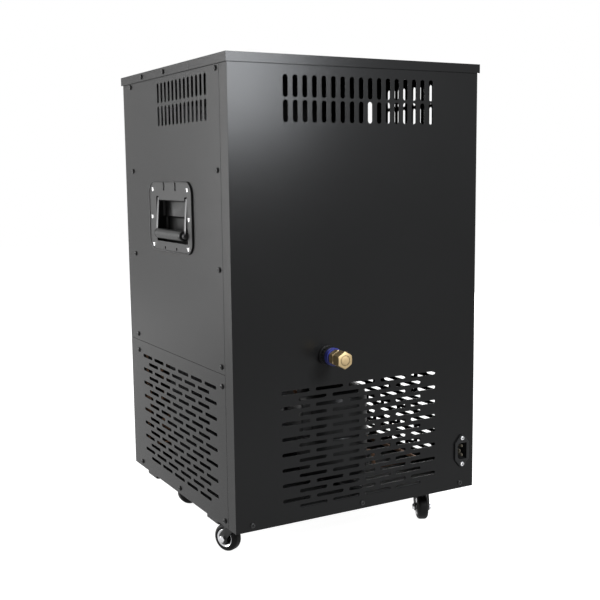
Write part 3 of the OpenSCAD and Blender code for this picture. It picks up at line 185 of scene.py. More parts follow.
# faces between loops of equal length, where a pole is one vertex repeated
def skin(part, loops):
    for a, b in zip(loops, loops[1:]):
        for k in range(len(a)):
            n = (k + 1) % len(a)
            corners = list(dict.fromkeys((a[k], a[n], b[n], b[k])))
            if len(corners) > 2:
                part.faces.new(corners)


class Shape:
    def __init__(self):
        self.bm = bmesh.new()

    def take(self, part, place=None):
        bmesh.ops.remove_doubles(part, verts=part.verts, dist=1e-5)
        bmesh.ops.recalc_face_normals(part, faces=part.faces)
        if place is not None:
            part.transform(place)
            if place.determinant() < 0:
                bmesh.ops.reverse_faces(part, faces=part.faces)
        mesh = toMesh("part", part)
        self.bm.from_mesh(mesh)
        bpy.data.meshes.remove(mesh)
        return self

    def takeMesh(self, mesh, place=None):
        part = bmesh.new()
        part.from_mesh(mesh)
        bpy.data.meshes.remove(mesh)
        return self.take(part, place)

    # closed joins the last ring to the first, otherwise both ends are flat
    def loft(self, rings, place=None, closed=False):
        part = bmesh.new()
        loops = [[part.verts.new(p) for p in ring] for ring in rings]
        if closed:
            loops.append(loops[0])
        else:
            part.faces.new(loops[0][::-1])
            part.faces.new(loops[-1])
        skin(part, loops)
        return self.take(part, place)

    def lathe(self, profile, place, steps=48, closed=False):
        part = bmesh.new()
        rings = []
        for r, h in profile:
            if r < 1e-6:
                rings.append([part.verts.new((0, 0, h))] * steps)
            else:
                rings.append([part.verts.new(p)
                              for p in atHeight(ringOutline(r, 0, 0, steps), h)])
        skin(part, rings + rings[:1] if closed else rings)
        return self.take(part, place)

    # a flat outline in local XY, from low to high in local Z
    def plate(self, outline, low, high, place, bevel=0.0):
        part = bmesh.new()
        loops = [[part.verts.new(p) for p in atHeight(outline, z)] for z in (low, high)]
        part.faces.new(loops[0][::-1])
        part.faces.new(loops[1])
        skin(part, loops)
        if bevel:
            rims = [e for e in part.edges if abs(e.verts[0].co.z - e.verts[1].co.z) < 1e-6]
            bmesh.ops.bevel(part, geom=rims, offset=bevel, segments=2, profile=0.5,
                            affect="EDGES")
        return self.take(part, place)

    def block(self, lo, hi, place=None, bevel=0.0, segments=2):
        part = bmesh.new()
        bmesh.ops.create_cube(part, size=1.0)
        lo, hi = Vector(lo), Vector(hi)
        for vert in part.verts:
            vert.co = Vector([(lo[k] + hi[k]) / 2 + vert.co[k] * (hi[k] - lo[k])
                              for k in range(3)])
        if bevel:
            bmesh.ops.bevel(part, geom=part.edges[:], offset=bevel, segments=segments,
                            profile=0.5, affect="EDGES")
        return self.take(part, place)

    # blocks set evenly round local Z
    def roundBlocks(self, count, lo, hi, place, bevel):
        for k in range(count):
            self.block(lo, hi, place @ turnZ(360 * k / count), bevel, 1)

    # the four walls of a box, from low to high in local Z
    def walls(self, x, y, wallX, wallY, low, high, place):
        for x0, y0, x1, y1 in ((-x, y - wallY, x, y), (-x, -y, x, wallY - y),
                               (-x, -y, wallX - x, y), (x - wallX, -y, x, y)):
            self.block((x0, y0, low), (x1, y1, high), place, 0.2, 1)

    # a nut or bolt head, where flats is the distance across its flats
    def hexagon(self, flats, low, high, place, bore=0.0, chamfers=(True, True), steps=48):
        rim, slope = flats / 2 * 0.985, math.tan(math.radians(30))
        angles = [360 * k / steps for k in range(steps)]
        flat = [rim] * steps
        edge = [flats / 2 / math.cos(math.radians(a % 60 - 30)) for a in angles]
        inner = [max(bore, 0.01)] * steps

        def ring(radii, height, drop=0.0):
            return [arc(r, [a])[0] + (height - drop * (r - rim),) for r, a in zip(radii, angles)]
        rings = [ring(inner, low)]
        rings += [ring(flat, low), ring(edge, low, -slope)] if chamfers[0] else [ring(edge, low)]
        rings += [ring(edge, high, slope), ring(flat, high)] if chamfers[1] else [ring(edge, high)]
        return self.loft(rings + [ring(inner, high)], place, closed=bore > 0)


# the points of a shape scaled to metres, smooth except at its sharp edges
def meshObject(name, shape, sharp=smoothBelow):
    bm = shape.bm
    bm.transform(Matrix.Scale(mm, 4))
    for face in bm.faces:
        face.smooth = True
    for edge in bm.edges:
        edge.smooth = (len(edge.link_faces) == 2
                       and edge.calc_face_angle(0.0) < math.radians(sharp))
    return linked(name, toMesh(name, bm))


def dress(piece, body, slotName, *replaced):
    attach(piece, body)
    if replaced:
        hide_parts(*replaced)


def finishPiece(name, shape, body, slotName, *replaced, sharp=smoothBelow):
    piece = meshObject(name, shape, sharp)
    piece.data.materials.append(slotFinish(slotName))
    dress(piece, body, slotName, *replaced)


# moves an outline out by shift, so that a bevelled curve keeps its size
def shiftedOutline(outline, shift):
    n = len(outline)
    area = sum(outline[k][0] * outline[(k + 1) % n][1] - outline[(k + 1) % n][0] * outline[k][1]
               for k in range(n))
    sign = 1 if area > 0 else -1
    out = []
    for k in range(n):
        a, b, c = (Vector(outline[(k + d) % n]) for d in (-1, 0, 1))
        before, after = (Vector((w.y, -w.x)).normalized() * sign for w in (b - a, c - b))
        mitre = before + after
        out.append(b + mitre / max(mitre.dot(before), 0.2) * shift)
    return out


# a plate with holes, bevelled all round, the first outline being the outer one
def curvePlate(name, outlines, thick, bevel, place):
    data = bpy.data.curves.new(name, "CURVE")
    data.dimensions, data.fill_mode = "2D", "BOTH"
    data.extrude, data.bevel_depth, data.bevel_resolution = thick / 2 - bevel, bevel, 2
    for number, outline in enumerate(outlines):
        spline = data.splines.new("POLY")
        spline.points.add(len(outline) - 1)
        shifted = shiftedOutline(outline, bevel if number else -bevel)
        for point, (x, y) in zip(spline.points, shifted):
            point.co = (x, y, 0, 1)
        spline.use_cyclic_u = True
    obj = linked(name, data)
    mesh = evaluatedMesh(obj)
    bpy.data.objects.remove(obj)
    return Shape().takeMesh(mesh, place)


# cuts one closed shape out of another
def carve(base, tool, name):
    objs = [linked(name + end, toMesh(name + end, shape.bm))
            for shape, end in ((base, "Base"), (tool, "Tool"))]
    cut = objs[0].modifiers.new("cut", "BOOLEAN")
    cut.operation, cut.solver, cut.object = "DIFFERENCE", "EXACT", objs[1]
    cut.use_self = True
    mesh = evaluatedMesh(objs[0])
    for obj in objs:
        bpy.data.objects.remove(obj)
    return Shape().takeMesh(mesh)


# rows are (name, kind, attributes, input values), and a plan reads "node.output > node.input; ..."
def addNodes(tree, rows, plan):
    made = {node.name: node for node in tree.nodes}
    for name, kind, *more in rows:
        attributes, values = (more + [{}, {}])[:2]
        node = made[name] = tree.nodes.new(kind)
        for key, value in attributes.items():
            setattr(node, key, value)
        for key, value in values.items():
            node.inputs[key].default_value = value
    for step in plan.split("; "):
        (source, output), (target, entry) = (end.split(".") for end in step.split(" > "))
        output, entry = (int(key) if key.isdigit() else key for key in (output, entry))
        tree.links.new(made[source].outputs[output], made[target].inputs[entry])


def rgb(colour):
    return (*colour, 1) if isinstance(colour, tuple) else (colour,) * 3 + (1,)


# one finish: slow colour change, fine roughness change, a fine bump and soft edges
noise = {"slowDetail": 4.0, "fineDetail": 2.0, "slowShare": 0.65, "fineShare": 0.35,
         "from": 0.3, "to": 0.7, "edgeSamples": 4}


def surface(name, dark, light, rough, metallic=0.0, patch=6.0, grain=900.0, bump=0.1,
            depth=0.0002, stretch=None, edge=0.0, specular=0.5):
    mat = bpy.data.materials.new(name)
    mat.use_nodes = True
    rows = [("coords", "ShaderNodeTexCoord"),
            ("slow", "ShaderNodeTexNoise", {}, {"Scale": patch, "Detail": noise["slowDetail"]}),
            ("fine", "ShaderNodeTexNoise", {}, {"Scale": grain, "Detail": noise["fineDetail"]}),
            ("part", "ShaderNodeMath", {"operation": "MULTIPLY"}, {1: noise["slowShare"]}),
            ("both", "ShaderNodeMath", {"operation": "MULTIPLY_ADD"}, {1: noise["fineShare"]}),
            ("blend", "ShaderNodeMix", {"data_type": "RGBA"}, {"A": rgb(dark), "B": rgb(light)}),
            ("range", "ShaderNodeMapRange", {}, {"From Min": noise["from"],
                                                 "From Max": noise["to"],
                                                 "To Min": rough[0], "To Max": rough[1]}),
            ("lumps", "ShaderNodeBump", {}, {"Strength": bump, "Distance": depth})]
    plan = ("coords.Object > slow.Vector; slow.Fac > part.0; fine.Fac > both.0; part.0 > both.2; "
            "both.0 > blend.Factor; blend.Result > Principled BSDF.Base Color; "
            "both.0 > range.Value; range.Result > Principled BSDF.Roughness; "
            "fine.Fac > lumps.Height; lumps.Normal > Principled BSDF.Normal; ")
    if stretch:
        rows.append(("mapping", "ShaderNodeMapping", {}, {"Scale": stretch}))
        plan += "coords.Object > mapping.Vector; mapping.Vector > fine.Vector"
    else:
        plan += "coords.Object > fine.Vector"
    if edge:
        rows.append(("soft", "ShaderNodeBevel", {"samples": noise["edgeSamples"]},
                     {"Radius": edge}))
        plan += "; soft.Normal > lumps.Normal"
    addNodes(mat.node_tree, rows, plan)
    shader = mat.node_tree.nodes["Principled BSDF"]
    shader.inputs["Metallic"].default_value = metallic
    shader.inputs["Specular IOR Level"].default_value = specular
    return mat


finishes = {
    "powderCoat": dict(dark=0.0035, light=0.007, rough=(0.23, 0.28), patch=3.0, grain=1100.0,
                       bump=0.3, edge=0.0007, specular=0.11),
    "handleCoat": dict(dark=0.009, light=0.015, rough=(0.3, 0.36), patch=8.0, grain=1300.0,
                       bump=0.15, depth=0.0001, edge=0.0004, specular=0.13),
    "gripCoat": dict(dark=0.011, light=0.017, rough=(0.32, 0.4), patch=30.0, grain=1300.0,
                     bump=0.08, specular=0.13),
    "bailSteel": dict(dark=(0.05, 0.05, 0.0525), light=(0.0875, 0.0875, 0.09), rough=(0.3, 0.42),
                      metallic=0.25, patch=60.0, grain=600.0, bump=0.06),
    # the inner sheets' own dark coat, made darker still as painted shade for the inside of the
    # cabinet
    "innerCoatWithPaintedShade": dict(dark=0.01, light=0.02, rough=(0.62, 0.78), patch=20.0, grain=800.0,
                      bump=0.2, specular=0.1),
    "screwBlack": dict(dark=0.01, light=0.02, rough=(0.2, 0.3), patch=60.0, specular=0.2),
    # galvanised sheet, darkened as painted shade for the parts inside the cabinet
    "zincWithPaintedShade": dict(dark=(0.075, 0.075, 0.0775), light=(0.1375, 0.1375, 0.1425),
                      rough=(0.42, 0.58), metallic=0.7, patch=70.0, grain=260.0, bump=0.05),
    "brightMetal": dict(dark=(0.44, 0.44, 0.45), light=(0.62, 0.62, 0.63), rough=(0.2, 0.32),
                        metallic=1.0, patch=40.0, grain=700.0, bump=0.03),
    "rivetMetal": dict(dark=(0.806, 0.806, 0.819), light=0.92, rough=(0.14, 0.22), metallic=1.0,
                       patch=60.0, grain=700.0, bump=0.03),
    "satinSteel": dict(dark=(0.588, 0.588, 0.602), light=(0.77, 0.77, 0.784), rough=(0.25, 0.38),
                       metallic=1.0, patch=40.0, grain=500.0, bump=0.06),
    "turnedBrass": dict(dark=(0.215, 0.16, 0.084), light=(0.4, 0.303, 0.168), rough=(0.46, 0.62),
                        metallic=1.0, patch=90.0, bump=0.06, stretch=(1.0, 12.0, 1.0)),
    "pinBrass": dict(dark=(0.125, 0.1125, 0.0875), light=(0.2, 0.18, 0.1375), rough=(0.4, 0.55),
                     metallic=0.8, patch=90.0, bump=0.05),
    "blueRing": dict(dark=(0.008, 0.011, 0.09), light=(0.018, 0.023, 0.17), rough=(0.35, 0.5),
                     patch=120.0, bump=0.05, specular=0.3),
    "copperTube": dict(dark=(0.25, 0.1375, 0.085), light=(0.425, 0.2375, 0.15), rough=(0.4, 0.55),
                       metallic=0.9, patch=45.0, grain=500.0, bump=0.05),
    # fin metal, darkened as painted shade for the fins and blades inside the unit
    "finMetalWithPaintedShade": dict(dark=(0.175, 0.175, 0.1825), light=(0.3, 0.3, 0.3075), rough=(0.4, 0.55),
                     metallic=1.0, patch=50.0, bump=0.04),
    "plasticBlack": dict(dark=0.0075, light=0.015, rough=(0.4, 0.55), patch=50.0, grain=1500.0,
                         depth=0.0001, specular=0.11),
    "plasticDark": dict(dark=(0.02, 0.02, 0.0225), light=(0.0375, 0.0375, 0.04),
                        rough=(0.4, 0.55), patch=40.0, grain=1200.0, depth=0.0001,
                        specular=0.375),
    "rubberBlack": dict(dark=0.003, light=0.006, rough=(0.45, 0.6), patch=60.0, grain=700.0,
                        bump=0.15, specular=0.1),
    "foamCream": dict(dark=(0.58, 0.52, 0.36), light=(0.74, 0.69, 0.5), rough=(0.8, 0.95),
                      patch=30.0, grain=350.0, bump=0.5, depth=0.0008),
    "linerSteel": dict(dark=(0.5, 0.5, 0.51), light=(0.62, 0.62, 0.63), rough=(0.22, 0.35),
                       metallic=1.0, patch=20.0, grain=300.0, bump=0.04,
                       stretch=(1.0, 1.0, 20.0)),
    "glossPaint": dict(dark=0.0075, light=0.015, rough=(0.3, 0.42), patch=30.0, grain=500.0,
                       bump=0.05, specular=0.25),
    "motorPaint": dict(dark=(0.05, 0.05, 0.055), light=(0.0875, 0.0875, 0.0925),
                       rough=(0.4, 0.55), patch=40.0, bump=0.08),
    "keyPlastic": dict(dark=0.2, light=0.28, rough=(0.4, 0.5), patch=90.0, bump=0.05),
    "smokedWindow": dict(dark=(0.008, 0.004, 0.004), light=(0.015, 0.007, 0.007),
                         rough=(0.06, 0.12), patch=60.0, bump=0.01),
}
finishOfSlot = {
    "black_screw": "screwBlack", "screw_chrome": "brightMetal", "rivet_metal": "rivetMetal",
    "handle_coat": "handleCoat", "bail_metal": "bailSteel", "grip_rubber": "gripCoat",
    "black_plastic": "plasticBlack", "blue_plastic": "blueRing", "brass": "turnedBrass",
    "pin_brass": "pinBrass", "fork_coat": "glossPaint", "wheel_rubber": "rubberBlack",
    "black_rubber": "rubberBlack", "caster_steel": "satinSteel", "key_plastic": "keyPlastic",
    "window_plastic": "smokedWindow", "rocker_plastic": "glossPaint", "copper": "copperTube",
    "compressor_paint": "glossPaint", "fin_metal": "finMetalWithPaintedShade", "zinc_sheet": "zincWithPaintedShade",
    "motor_paint": "motorPaint", "dark_plastic": "plasticDark", "liner_steel": "linerSteel",
}
materials = {name: surface(name, **values) for name, values in finishes.items()}


def slotFinish(slotName):
    return materials[finishOfSlot[slotName]]


keptNodes = {"powderCoat": ("rear_panel", "front_panel", "side_panel_upper_left",
                            "side_panel_upper_right", "side_panel_lower_left",
                            "side_panel_lower_right", "top_cover", "hatch", "caster_rails"),
             "innerCoatWithPaintedShade": ("base_pan", "corner_posts", "tank_shelf"),
             "linerSteel": ("tank_liner",), "foamCream": ("tank_foam",)}
for finish, names in keptNodes.items():
    for name in names:
        for slot in nodes[name].material_slots:
            slot.material = materials[finish]
print("finishes made")


# every tree ends by making its instances real and giving them their material
def geometryTree(name, sockets, rows, plan):
    tree = bpy.data.node_groups.new(name, "GeometryNodeTree")
    for label, kind, value in sockets + [("Finish", "Material", None)]:
        socket = tree.interface.new_socket(label, in_out="INPUT", socket_type="NodeSocket" + kind)
        if value is not None:
            socket.default_value = value
    tree.interface.new_socket("Mesh", in_out="OUTPUT", socket_type="NodeSocketGeometry")
    addNodes(tree, rows + [("given", "NodeGroupInput"), ("out", "NodeGroupOutput"),
                           ("real", "GeometryNodeRealizeInstances"),
                           ("paint", "GeometryNodeSetMaterial")],
             plan + "; real.Geometry > paint.Geometry; given.Finish > paint.Material; "
             "paint.Geometry > out.Mesh")
    return tree


trees = {
    # one part on every point, turned to the point's own direction
    "spread": geometryTree(
        "partSpread",
        [("Points", "Geometry", None), ("Part", "Object", None), ("Turn", "Float", 360.0),
         ("Seed", "Int", 3)],
        [("info", "GeometryNodeObjectInfo"),
         ("way", "GeometryNodeInputNamedAttribute", {"data_type": "FLOAT_VECTOR"},
          {"Name": "way"}),
         ("face", "FunctionNodeAlignRotationToVector", {"axis": "Z"}),
         ("chance", "FunctionNodeRandomValue", {"data_type": "FLOAT"}),
         ("radians", "ShaderNodeMath", {"operation": "RADIANS"}),
         ("turn", "ShaderNodeCombineXYZ"), ("asTurn", "FunctionNodeEulerToRotation"),
         ("rotate", "FunctionNodeRotateRotation", {"rotation_space": "LOCAL"}),
         ("place", "GeometryNodeInstanceOnPoints")],
        "given.Part > info.Object; way.Attribute > face.Vector; given.Turn > radians.0; "
        "radians.0 > chance.Max; given.Seed > chance.Seed; chance.Value > turn.Z; "
        "turn.0 > asTurn.0; face.Rotation > rotate.Rotation; asTurn.0 > rotate.Rotate By; "
        "given.Points > place.Points; info.Geometry > place.Instance; "
        "rotate.Rotation > place.Rotation; place.Instances > real.Geometry"),
    # one part along a straight row
    "row": geometryTree(
        "partRow",
        [("Start", "Geometry", None), ("Part", "Object", None), ("Count", "Int", 10),
         ("Pitch", "Vector", None), ("First", "Vector", None)],
        [("info", "GeometryNodeObjectInfo"), ("line", "GeometryNodeMeshLine"),
         ("place", "GeometryNodeInstanceOnPoints")],
        "given.Part > info.Object; given.Count > line.Count; given.First > line.Start Location; "
        "given.Pitch > line.Offset; line.Mesh > place.Points; info.Geometry > place.Instance; "
        "place.Instances > real.Geometry"),
    # a round section swept along the edges of a route
    "sweep": geometryTree(
        "tubeSweep",
        [("Route", "Geometry", None), ("Radius", "Float", 0.003), ("Sides", "Int", 12)],
        [("curve", "GeometryNodeMeshToCurve"), ("section", "GeometryNodeCurvePrimitiveCircle"),
         ("tube", "GeometryNodeCurveToMesh", {}, {"Fill Caps": True}),
         ("smooth", "GeometryNodeSetShadeSmooth")],
        "given.Route > curve.Mesh; given.Radius > section.Radius; "
        "given.Sides > section.Resolution; curve.Curve > tube.Curve; "
        "section.Curve > tube.Profile Curve; tube.Mesh > smooth.Geometry; "
        "smooth.Geometry > real.Geometry"),
}


# evaluates a tree on a start mesh and keeps the result as a plain mesh
def runTree(name, start, tree, values):
    piece = linked(name, start)
    modifier = piece.modifiers.new("nodes", "NODES")
    modifier.node_group = tree
    for item in tree.interface.items_tree:
        if item.item_type == "SOCKET" and item.in_out == "INPUT" and item.name in values:
            modifier[item.identifier] = values[item.name]
    mesh = evaluatedMesh(piece)
    piece.modifiers.clear()
    piece.data, mesh.name = mesh, name
    return piece


def sweepTubes(name, routes, radius, sides, slotName, *replaced):
    points, edges = [], []
    for route in routes:
        first = len(points)
        points += [tuple(Vector(p) * mm) for p in route]
        edges += [(first + k, first + k + 1) for k in range(len(route) - 1)]
    start = bpy.data.meshes.new(name + "Route")
    start.from_pydata(points, edges, [])
    piece = runTree(name, start, trees["sweep"], {"Radius": radius * mm, "Sides": sides,
                                                  "Finish": slotFinish(slotName)})
    dress(piece, "cabinet", slotName, *replaced)


# a head with a cross recess, its seat at the origin, pointing along Z
def crossHead(radius, height, shank, shankLength, arm, armWidth, recess, taper, profile, steps=24):
    part = bmesh.new()
    rings = [[part.verts.new(p) for p in atHeight(ringOutline(r, 0, 0, steps), h)]
             for r, h in [(shank, -shankLength), (shank, 0)]
             + [(radius * r, height * h) for r, h in profile]]
    skin(part, rings)
    part.faces.new(rings[0][::-1])
    cross = [Matrix.Rotation(math.pi / 2 * quarter, 3, "Z") @ Vector((x, y, 0))
             for quarter in range(4)
             for x, y in ((armWidth, armWidth), (armWidth, arm), (-armWidth, arm))]
    cross.sort(key=lambda c: math.atan2(c.y, c.x) % (2 * math.pi))
    lip = [part.verts.new((c.x, c.y, height)) for c in cross]
    pit = [part.verts.new((c.x * taper, c.y * taper, height - recess)) for c in cross]
    rim = [part.edges.get((rings[-1][k], rings[-1][(k + 1) % steps])) for k in range(steps)]
    rim += [part.edges.new((lip[k], lip[(k + 1) % len(lip)])) for k in range(len(lip))]
    bmesh.ops.bridge_loops(part, edges=rim)
    skin(part, [lip, pit])
    part.faces.new(pit)
    return Shape().take(part)


cabinetMiddle = middle(nodeBox("base_pan"))


# where each fastener of a node sits and which way it points
def seats(node, headHeight):
    places = []
    for box in solidBoxes(node):
        size, centre, way = box[1] - box[0], middle(box), Vector((0, 0, 0))
        k = max(range(3), key=lambda axis: size[axis])
        way[k] = 1.0 if centre[k] > cabinetMiddle[k] else -1.0
        places.append((centre + way * (size[k] / 2 - headHeight), way))
    return places


headProfile = [(0.97, 0), (1, 0.14), (0.97, 0.45), (0.84, 0.8), (0.62, 1)]
cabinetScrew = {"radius": 3.8, "height": 2.2, "shank": 1.7, "shankLength": 6.0, "arm": 1.9,
                "armWidth": 0.5, "recess": 1.2, "taper": 0.55, "profile": headProfile}
inletScrew = {"radius": 3.3, "height": 1.6, "shank": 1.5, "shankLength": 7.0, "arm": 1.6,
              "armWidth": 0.4, "recess": 1.0, "taper": 0.55, "profile": headProfile}
rivet = {"radius": 3.7, "height": 1.8, "shank": 2.0, "shankLength": 4.0,
         "dome": [(0.96, 0), (1, 0.12), (0.95, 0.36), (0.82, 0.62), (0.62, 0.82), (0.36, 0.95),
                  (0, 1)]}
rivetShape = Shape().lathe(rodProfile(rivet["shank"], -rivet["shankLength"], 0)[:3]
                           + [(r * rivet["radius"], h * rivet["height"])
                              for r, h in rivet["dome"]], Matrix(), 28)
for name, node, slotName, shape, height, turn in (
        ("cabinetScrews", "cabinet_screws", "black_screw", crossHead(**cabinetScrew),
         cabinetScrew["height"], 360.0),
        ("inletScrews", "inlet_screws", "screw_chrome", crossHead(**inletScrew),
         inletScrew["height"], 360.0),
        ("handleRivets", "handle_rivets", "rivet_metal", rivetShape, rivet["height"], 0.0)):
    places = seats(node, height)
    start = bpy.data.meshes.new(name + "Points")
    start.from_pydata([tuple(p * mm) for p, way in places], [], [])
    ways = start.attributes.new("way", "FLOAT_VECTOR", "POINT")
    ways.data.foreach_set("vector", [c for p, way in places for c in way])
    part = meshObject(name + "Part", shape)
    piece = runTree(name, start, trees["spread"], {"Part": part, "Turn": turn, "Seed": 3,
                                                   "Finish": slotFinish(slotName)})
    bpy.data.objects.remove(part)
    dress(piece, "cabinet", slotName, node)
print("fasteners made")

handle = {"width": 164.0, "height": 103.0, "corner": 20.0, "thick": 1.5, "rim": 2.5,
          "rimSection": [(0, 0.05), (0, 1.5), (0.25, 2.15), (0.75, 2.5), (1.4, 2.42), (2.0, 2.0),
                         (2.5, 1.3), (2.5, 0.05)],
          "openWide": 118.0, "openHigh": 61.0, "openBack": 5.7, "openDrop": 6.4, "openRound": 2.0,
          "deep": 16.5, "step": 4.0, "wall": 1.2, "floorRound": 4.0,
          "floorCurve": [(0, 1), (0.08, 0.62), (0.3, 0.29), (0.62, 0.08), (1, 0)],
          "nookWide": 9.0, "nookHigh": 5.4, "nookDeep": 7.5, "nookSoft": 0.4,
          "slotWide": 5.0, "slotHigh": 12.0, "slotRound": 1.2, "slotAcross": 22.0, "slotUp": 44.0,
          "holeRadius": 2.2, "holeDown": 46.0, "cut": (-3.0, 6.0), "wallTop": 0.6}
tongue = {"across": (0.8, 2.2), "reach": 4.6, "rise": 1.3, "heights": (-0.1, 0.7)}
bail = {"reach": 51.0, "lean": 4.5, "barrel": 3.4, "armThick": 2.0, "armWide": 6.0,
        "armSoft": 0.45, "gap": 2.0, "stub": 2.4, "stubGap": 0.05, "rod": 4.0, "rodSoft": 0.6,
        "end": [(0, -3), (3.0, -3), (3.4, -2.6), (3.4, 2.6), (3.0, 3), (2.7, 3), (2.6, 2.7),
                (2.5, 3.0), (2.4, 3.0), (2.4, 6.3), (2.1, 6.6), (0, 6.6)]}
grip = {"bore": 4.05, "end": [(1.5, 0), (0.8, 0.25), (0.25, 0.8), (0, 1.6), (0, 5.0), (0.25, 5.3),
                              (0.25, 5.9), (0, 6.2)]}


# the hand recess, shallow above the middle and deep below it, with a nook at each upper corner
def recess(shape, more, back, top, place):
    low = -handle["openDrop"] - handle["openHigh"] / 2 - more
    high = handle["openHigh"] / 2 - handle["openDrop"]
    soft, wide = handle["floorRound"] + more, handle["openWide"] + 2 * more
    for ceiling, depth in ((high + more, handle["deep"] - handle["step"] + more),
                           (more, handle["deep"] + more)):
        levels = [(0, top)] + [(inset * soft, rise * soft - depth)
                               for inset, rise in handle["floorCurve"]]
        rings = [atHeight(roundOutline(wide - 2 * g, ceiling - low - 2 * g,
                                       max(handle["openRound"] + more - g, 0.6), 4, back,
                                       (low + ceiling) / 2), z) for g, z in levels]
        shape.loft(rings[::-1], place)
    for k in (-1, 1):
        x = back + k * (handle["openWide"] - handle["nookWide"]) / 2
        half = handle["nookWide"] / 2 + more
        shape.block((x - half, high - handle["nookHigh"], -handle["nookDeep"] - more),
                    (x + half, high + handle["nookHigh"] + more, top), place,
                    handle["nookSoft"])


for side, s in (("right", 1), ("left", -1)):
    lo, hi = nodeBox("handle_dish_" + side)
    centre, pivot = (lo + hi) / 2, jointPlace("handle_%s_swing" % side)
    hinge = Vector((pivot.x, centre.y + handle["openBack"], pivot.z))
    face = hi.x - handle["rim"] if s > 0 else lo.x + handle["rim"]
    place = axes((face, centre.y, centre.z), (0, s, 0), (0, 0, 1))
    back = s * handle["openBack"]
    w, h, r = (handle[key] for key in ("width", "height", "corner"))
    base, tool = Shape(), Shape()
    base.plate(roundOutline(w, h, r, 10), 0.0, handle["thick"], place)
    base.loft([atHeight(roundOutline(w - 2 * f, h - 2 * f, r - f, 10), z)
               for f, z in handle["rimSection"]], place, closed=True)
    recess(base, handle["wall"], back, handle["wallTop"], place)
    recess(tool, 0.0, back, handle["cut"][1], place)
    for k in (-1, 1):
        x = k * handle["slotAcross"]
        tool.plate(roundOutline(handle["slotWide"], handle["slotHigh"], handle["slotRound"], 3,
                                x, handle["slotUp"]), *handle["cut"], place)
        tool.plate(ringOutline(handle["holeRadius"], x, -handle["holeDown"]), *handle["cut"],
                   place)
    reach = handle["openWide"] / 2 + 3 * handle["wall"]
    tool.lathe(rodProfile(bail["stub"] + bail["stubGap"], -reach, reach),
               aim(hinge, (0, 1, 0)), 24)
    shape = carve(base, tool, "handlePlate" + side.title())
    # raised tongues in the two slots
    for k in (-1, 1):
        near, far = (k * handle["slotAcross"] + x for x in tongue["across"])
        rings = []
        for a in range(0, 181, 20):
            v = handle["slotUp"] + tongue["reach"] * math.cos(math.radians(a))
            under, over = (z + tongue["rise"] * math.sin(math.radians(a))
                           for z in tongue["heights"])
            rings.append([(near, v, under), (far, v, under), (far, v, over), (near, v, over)])
        shape.loft(rings, place)
    finishPiece("handlePlate" + side.title(), shape, "cabinet", "handle_coat",
                "handle_dish_" + side)

    # flat arms between rolled barrels, and the rod in the grip
    lean = math.radians(bail["lean"])
    outWay = Vector((s * math.cos(lean), 0, math.sin(lean)))
    upWay = Vector((-s * math.sin(lean), 0, math.cos(lean)))
    alongWay = upWay.cross(outWay)
    half, armHalf = handle["openWide"] / 2 - bail["gap"], bail["armWide"] / 2
    rodMiddle = hinge + outWay * (bail["barrel"] - bail["armThick"] / 2) - upWay * bail["reach"]
    arm = [(-armHalf, 0)] + arc(armHalf, range(180, 361, 20), 0, -bail["reach"]) + [(armHalf, 0)]
    shape = Shape()
    for k in (-1, 1):
        armMiddle = hinge + alongWay * (k * (half - armHalf))
        shape.plate(arm, bail["barrel"] - bail["armThick"], bail["barrel"],
                    axes(armMiddle, alongWay, upWay), bail["armSoft"])
        shape.lathe(bail["end"], aim(armMiddle, alongWay * k), 28)
    shape.lathe(rodProfile(bail["rod"], -half, half, bail["rodSoft"]),
                aim(rodMiddle, (0, 1, 0)), 28)
    finishPiece("bailWire" + side.title(), shape, "handle_" + side, "bail_metal", "bail_" + side)

    # grip sleeve with soft ends and a fine groove near each
    gripLo, gripHi = nodeBox("grip_" + side)
    half, radius = (gripHi.y - gripLo.y) / 2, (gripHi.z - gripLo.z) / 2
    profile = [(grip["bore"], -half)] + [(radius - inset, y - half) for inset, y in grip["end"]]
    shape = Shape().lathe(mirrored(profile), aim(rodMiddle, (0, 1, 0)), 40, closed=True)
    finishPiece("gripSleeve" + side.title(), shape, "handle_" + side, "grip_rubber",
                "grip_" + side)
print("handles made")


drainNut = {"bore": 6.7, "start": [(0.4, 0), (0, 0.4), (0, 3.4), (0.9, 4.0)],
            "end": [(0.9, 1.2), (1.7, 0)]}
nutRibs = {"count": 20, "insets": (1.6, 0.35), "half": 0.7, "start": 4.4, "end": 1.6, "soft": 0.25}
drainRing = {"bore": 6.7, "start": [(0.5, 0), (0, 0.5)], "end": [(0, 0.9), (0.9, 0)],
             "groove": [(0, -0.9), (0.6, -0.5), (0.6, 0.5), (0, 0.9)]}
fitting = {"bore": 5.0, "pipe": 6.5, "collar": [(9.4, 0), (9.6, 0.6), (9.0, 0.9), (5.0, 0.9)],
           "neckStart": 0.5, "neckFlats": 19.6}
plug = {"pin": [(4.2, 0), (4.95, 0.8)], "lap": 0.3, "flats": 20.8,
        "collar": [(0, 0.15), (9.2, 0.15), (9.6, 0.6), (9.6, 2.0), (0, 2.0)],
        "boss": [(0, -0.02), (6.8, -0.02), (7.0, 0), (6.2, 0)]}
nutLo, nutHi = nodeBox("drain_nut")
drainMiddle = middle((nutLo, nutHi))
drainMiddle.y = 0
onDrain = aim(drainMiddle, (0, 1, 0))
radius, length = (nutHi.x - nutLo.x) / 2, nutHi.y - nutLo.y
onNut = onDrain @ Matrix.Translation((0, 0, nutLo.y))
shape = Shape().lathe(ringProfile(radius, length, **drainNut), onNut, 48, closed=True)
shape.roundBlocks(nutRibs["count"], (radius - nutRibs["insets"][0], -nutRibs["half"],
                                     nutRibs["start"]),
                  (radius - nutRibs["insets"][1], nutRibs["half"], length - nutRibs["end"]),
                  onNut, nutRibs["soft"])
finishPiece("drainNut", shape, "cabinet", "black_plastic", "drain_nut")

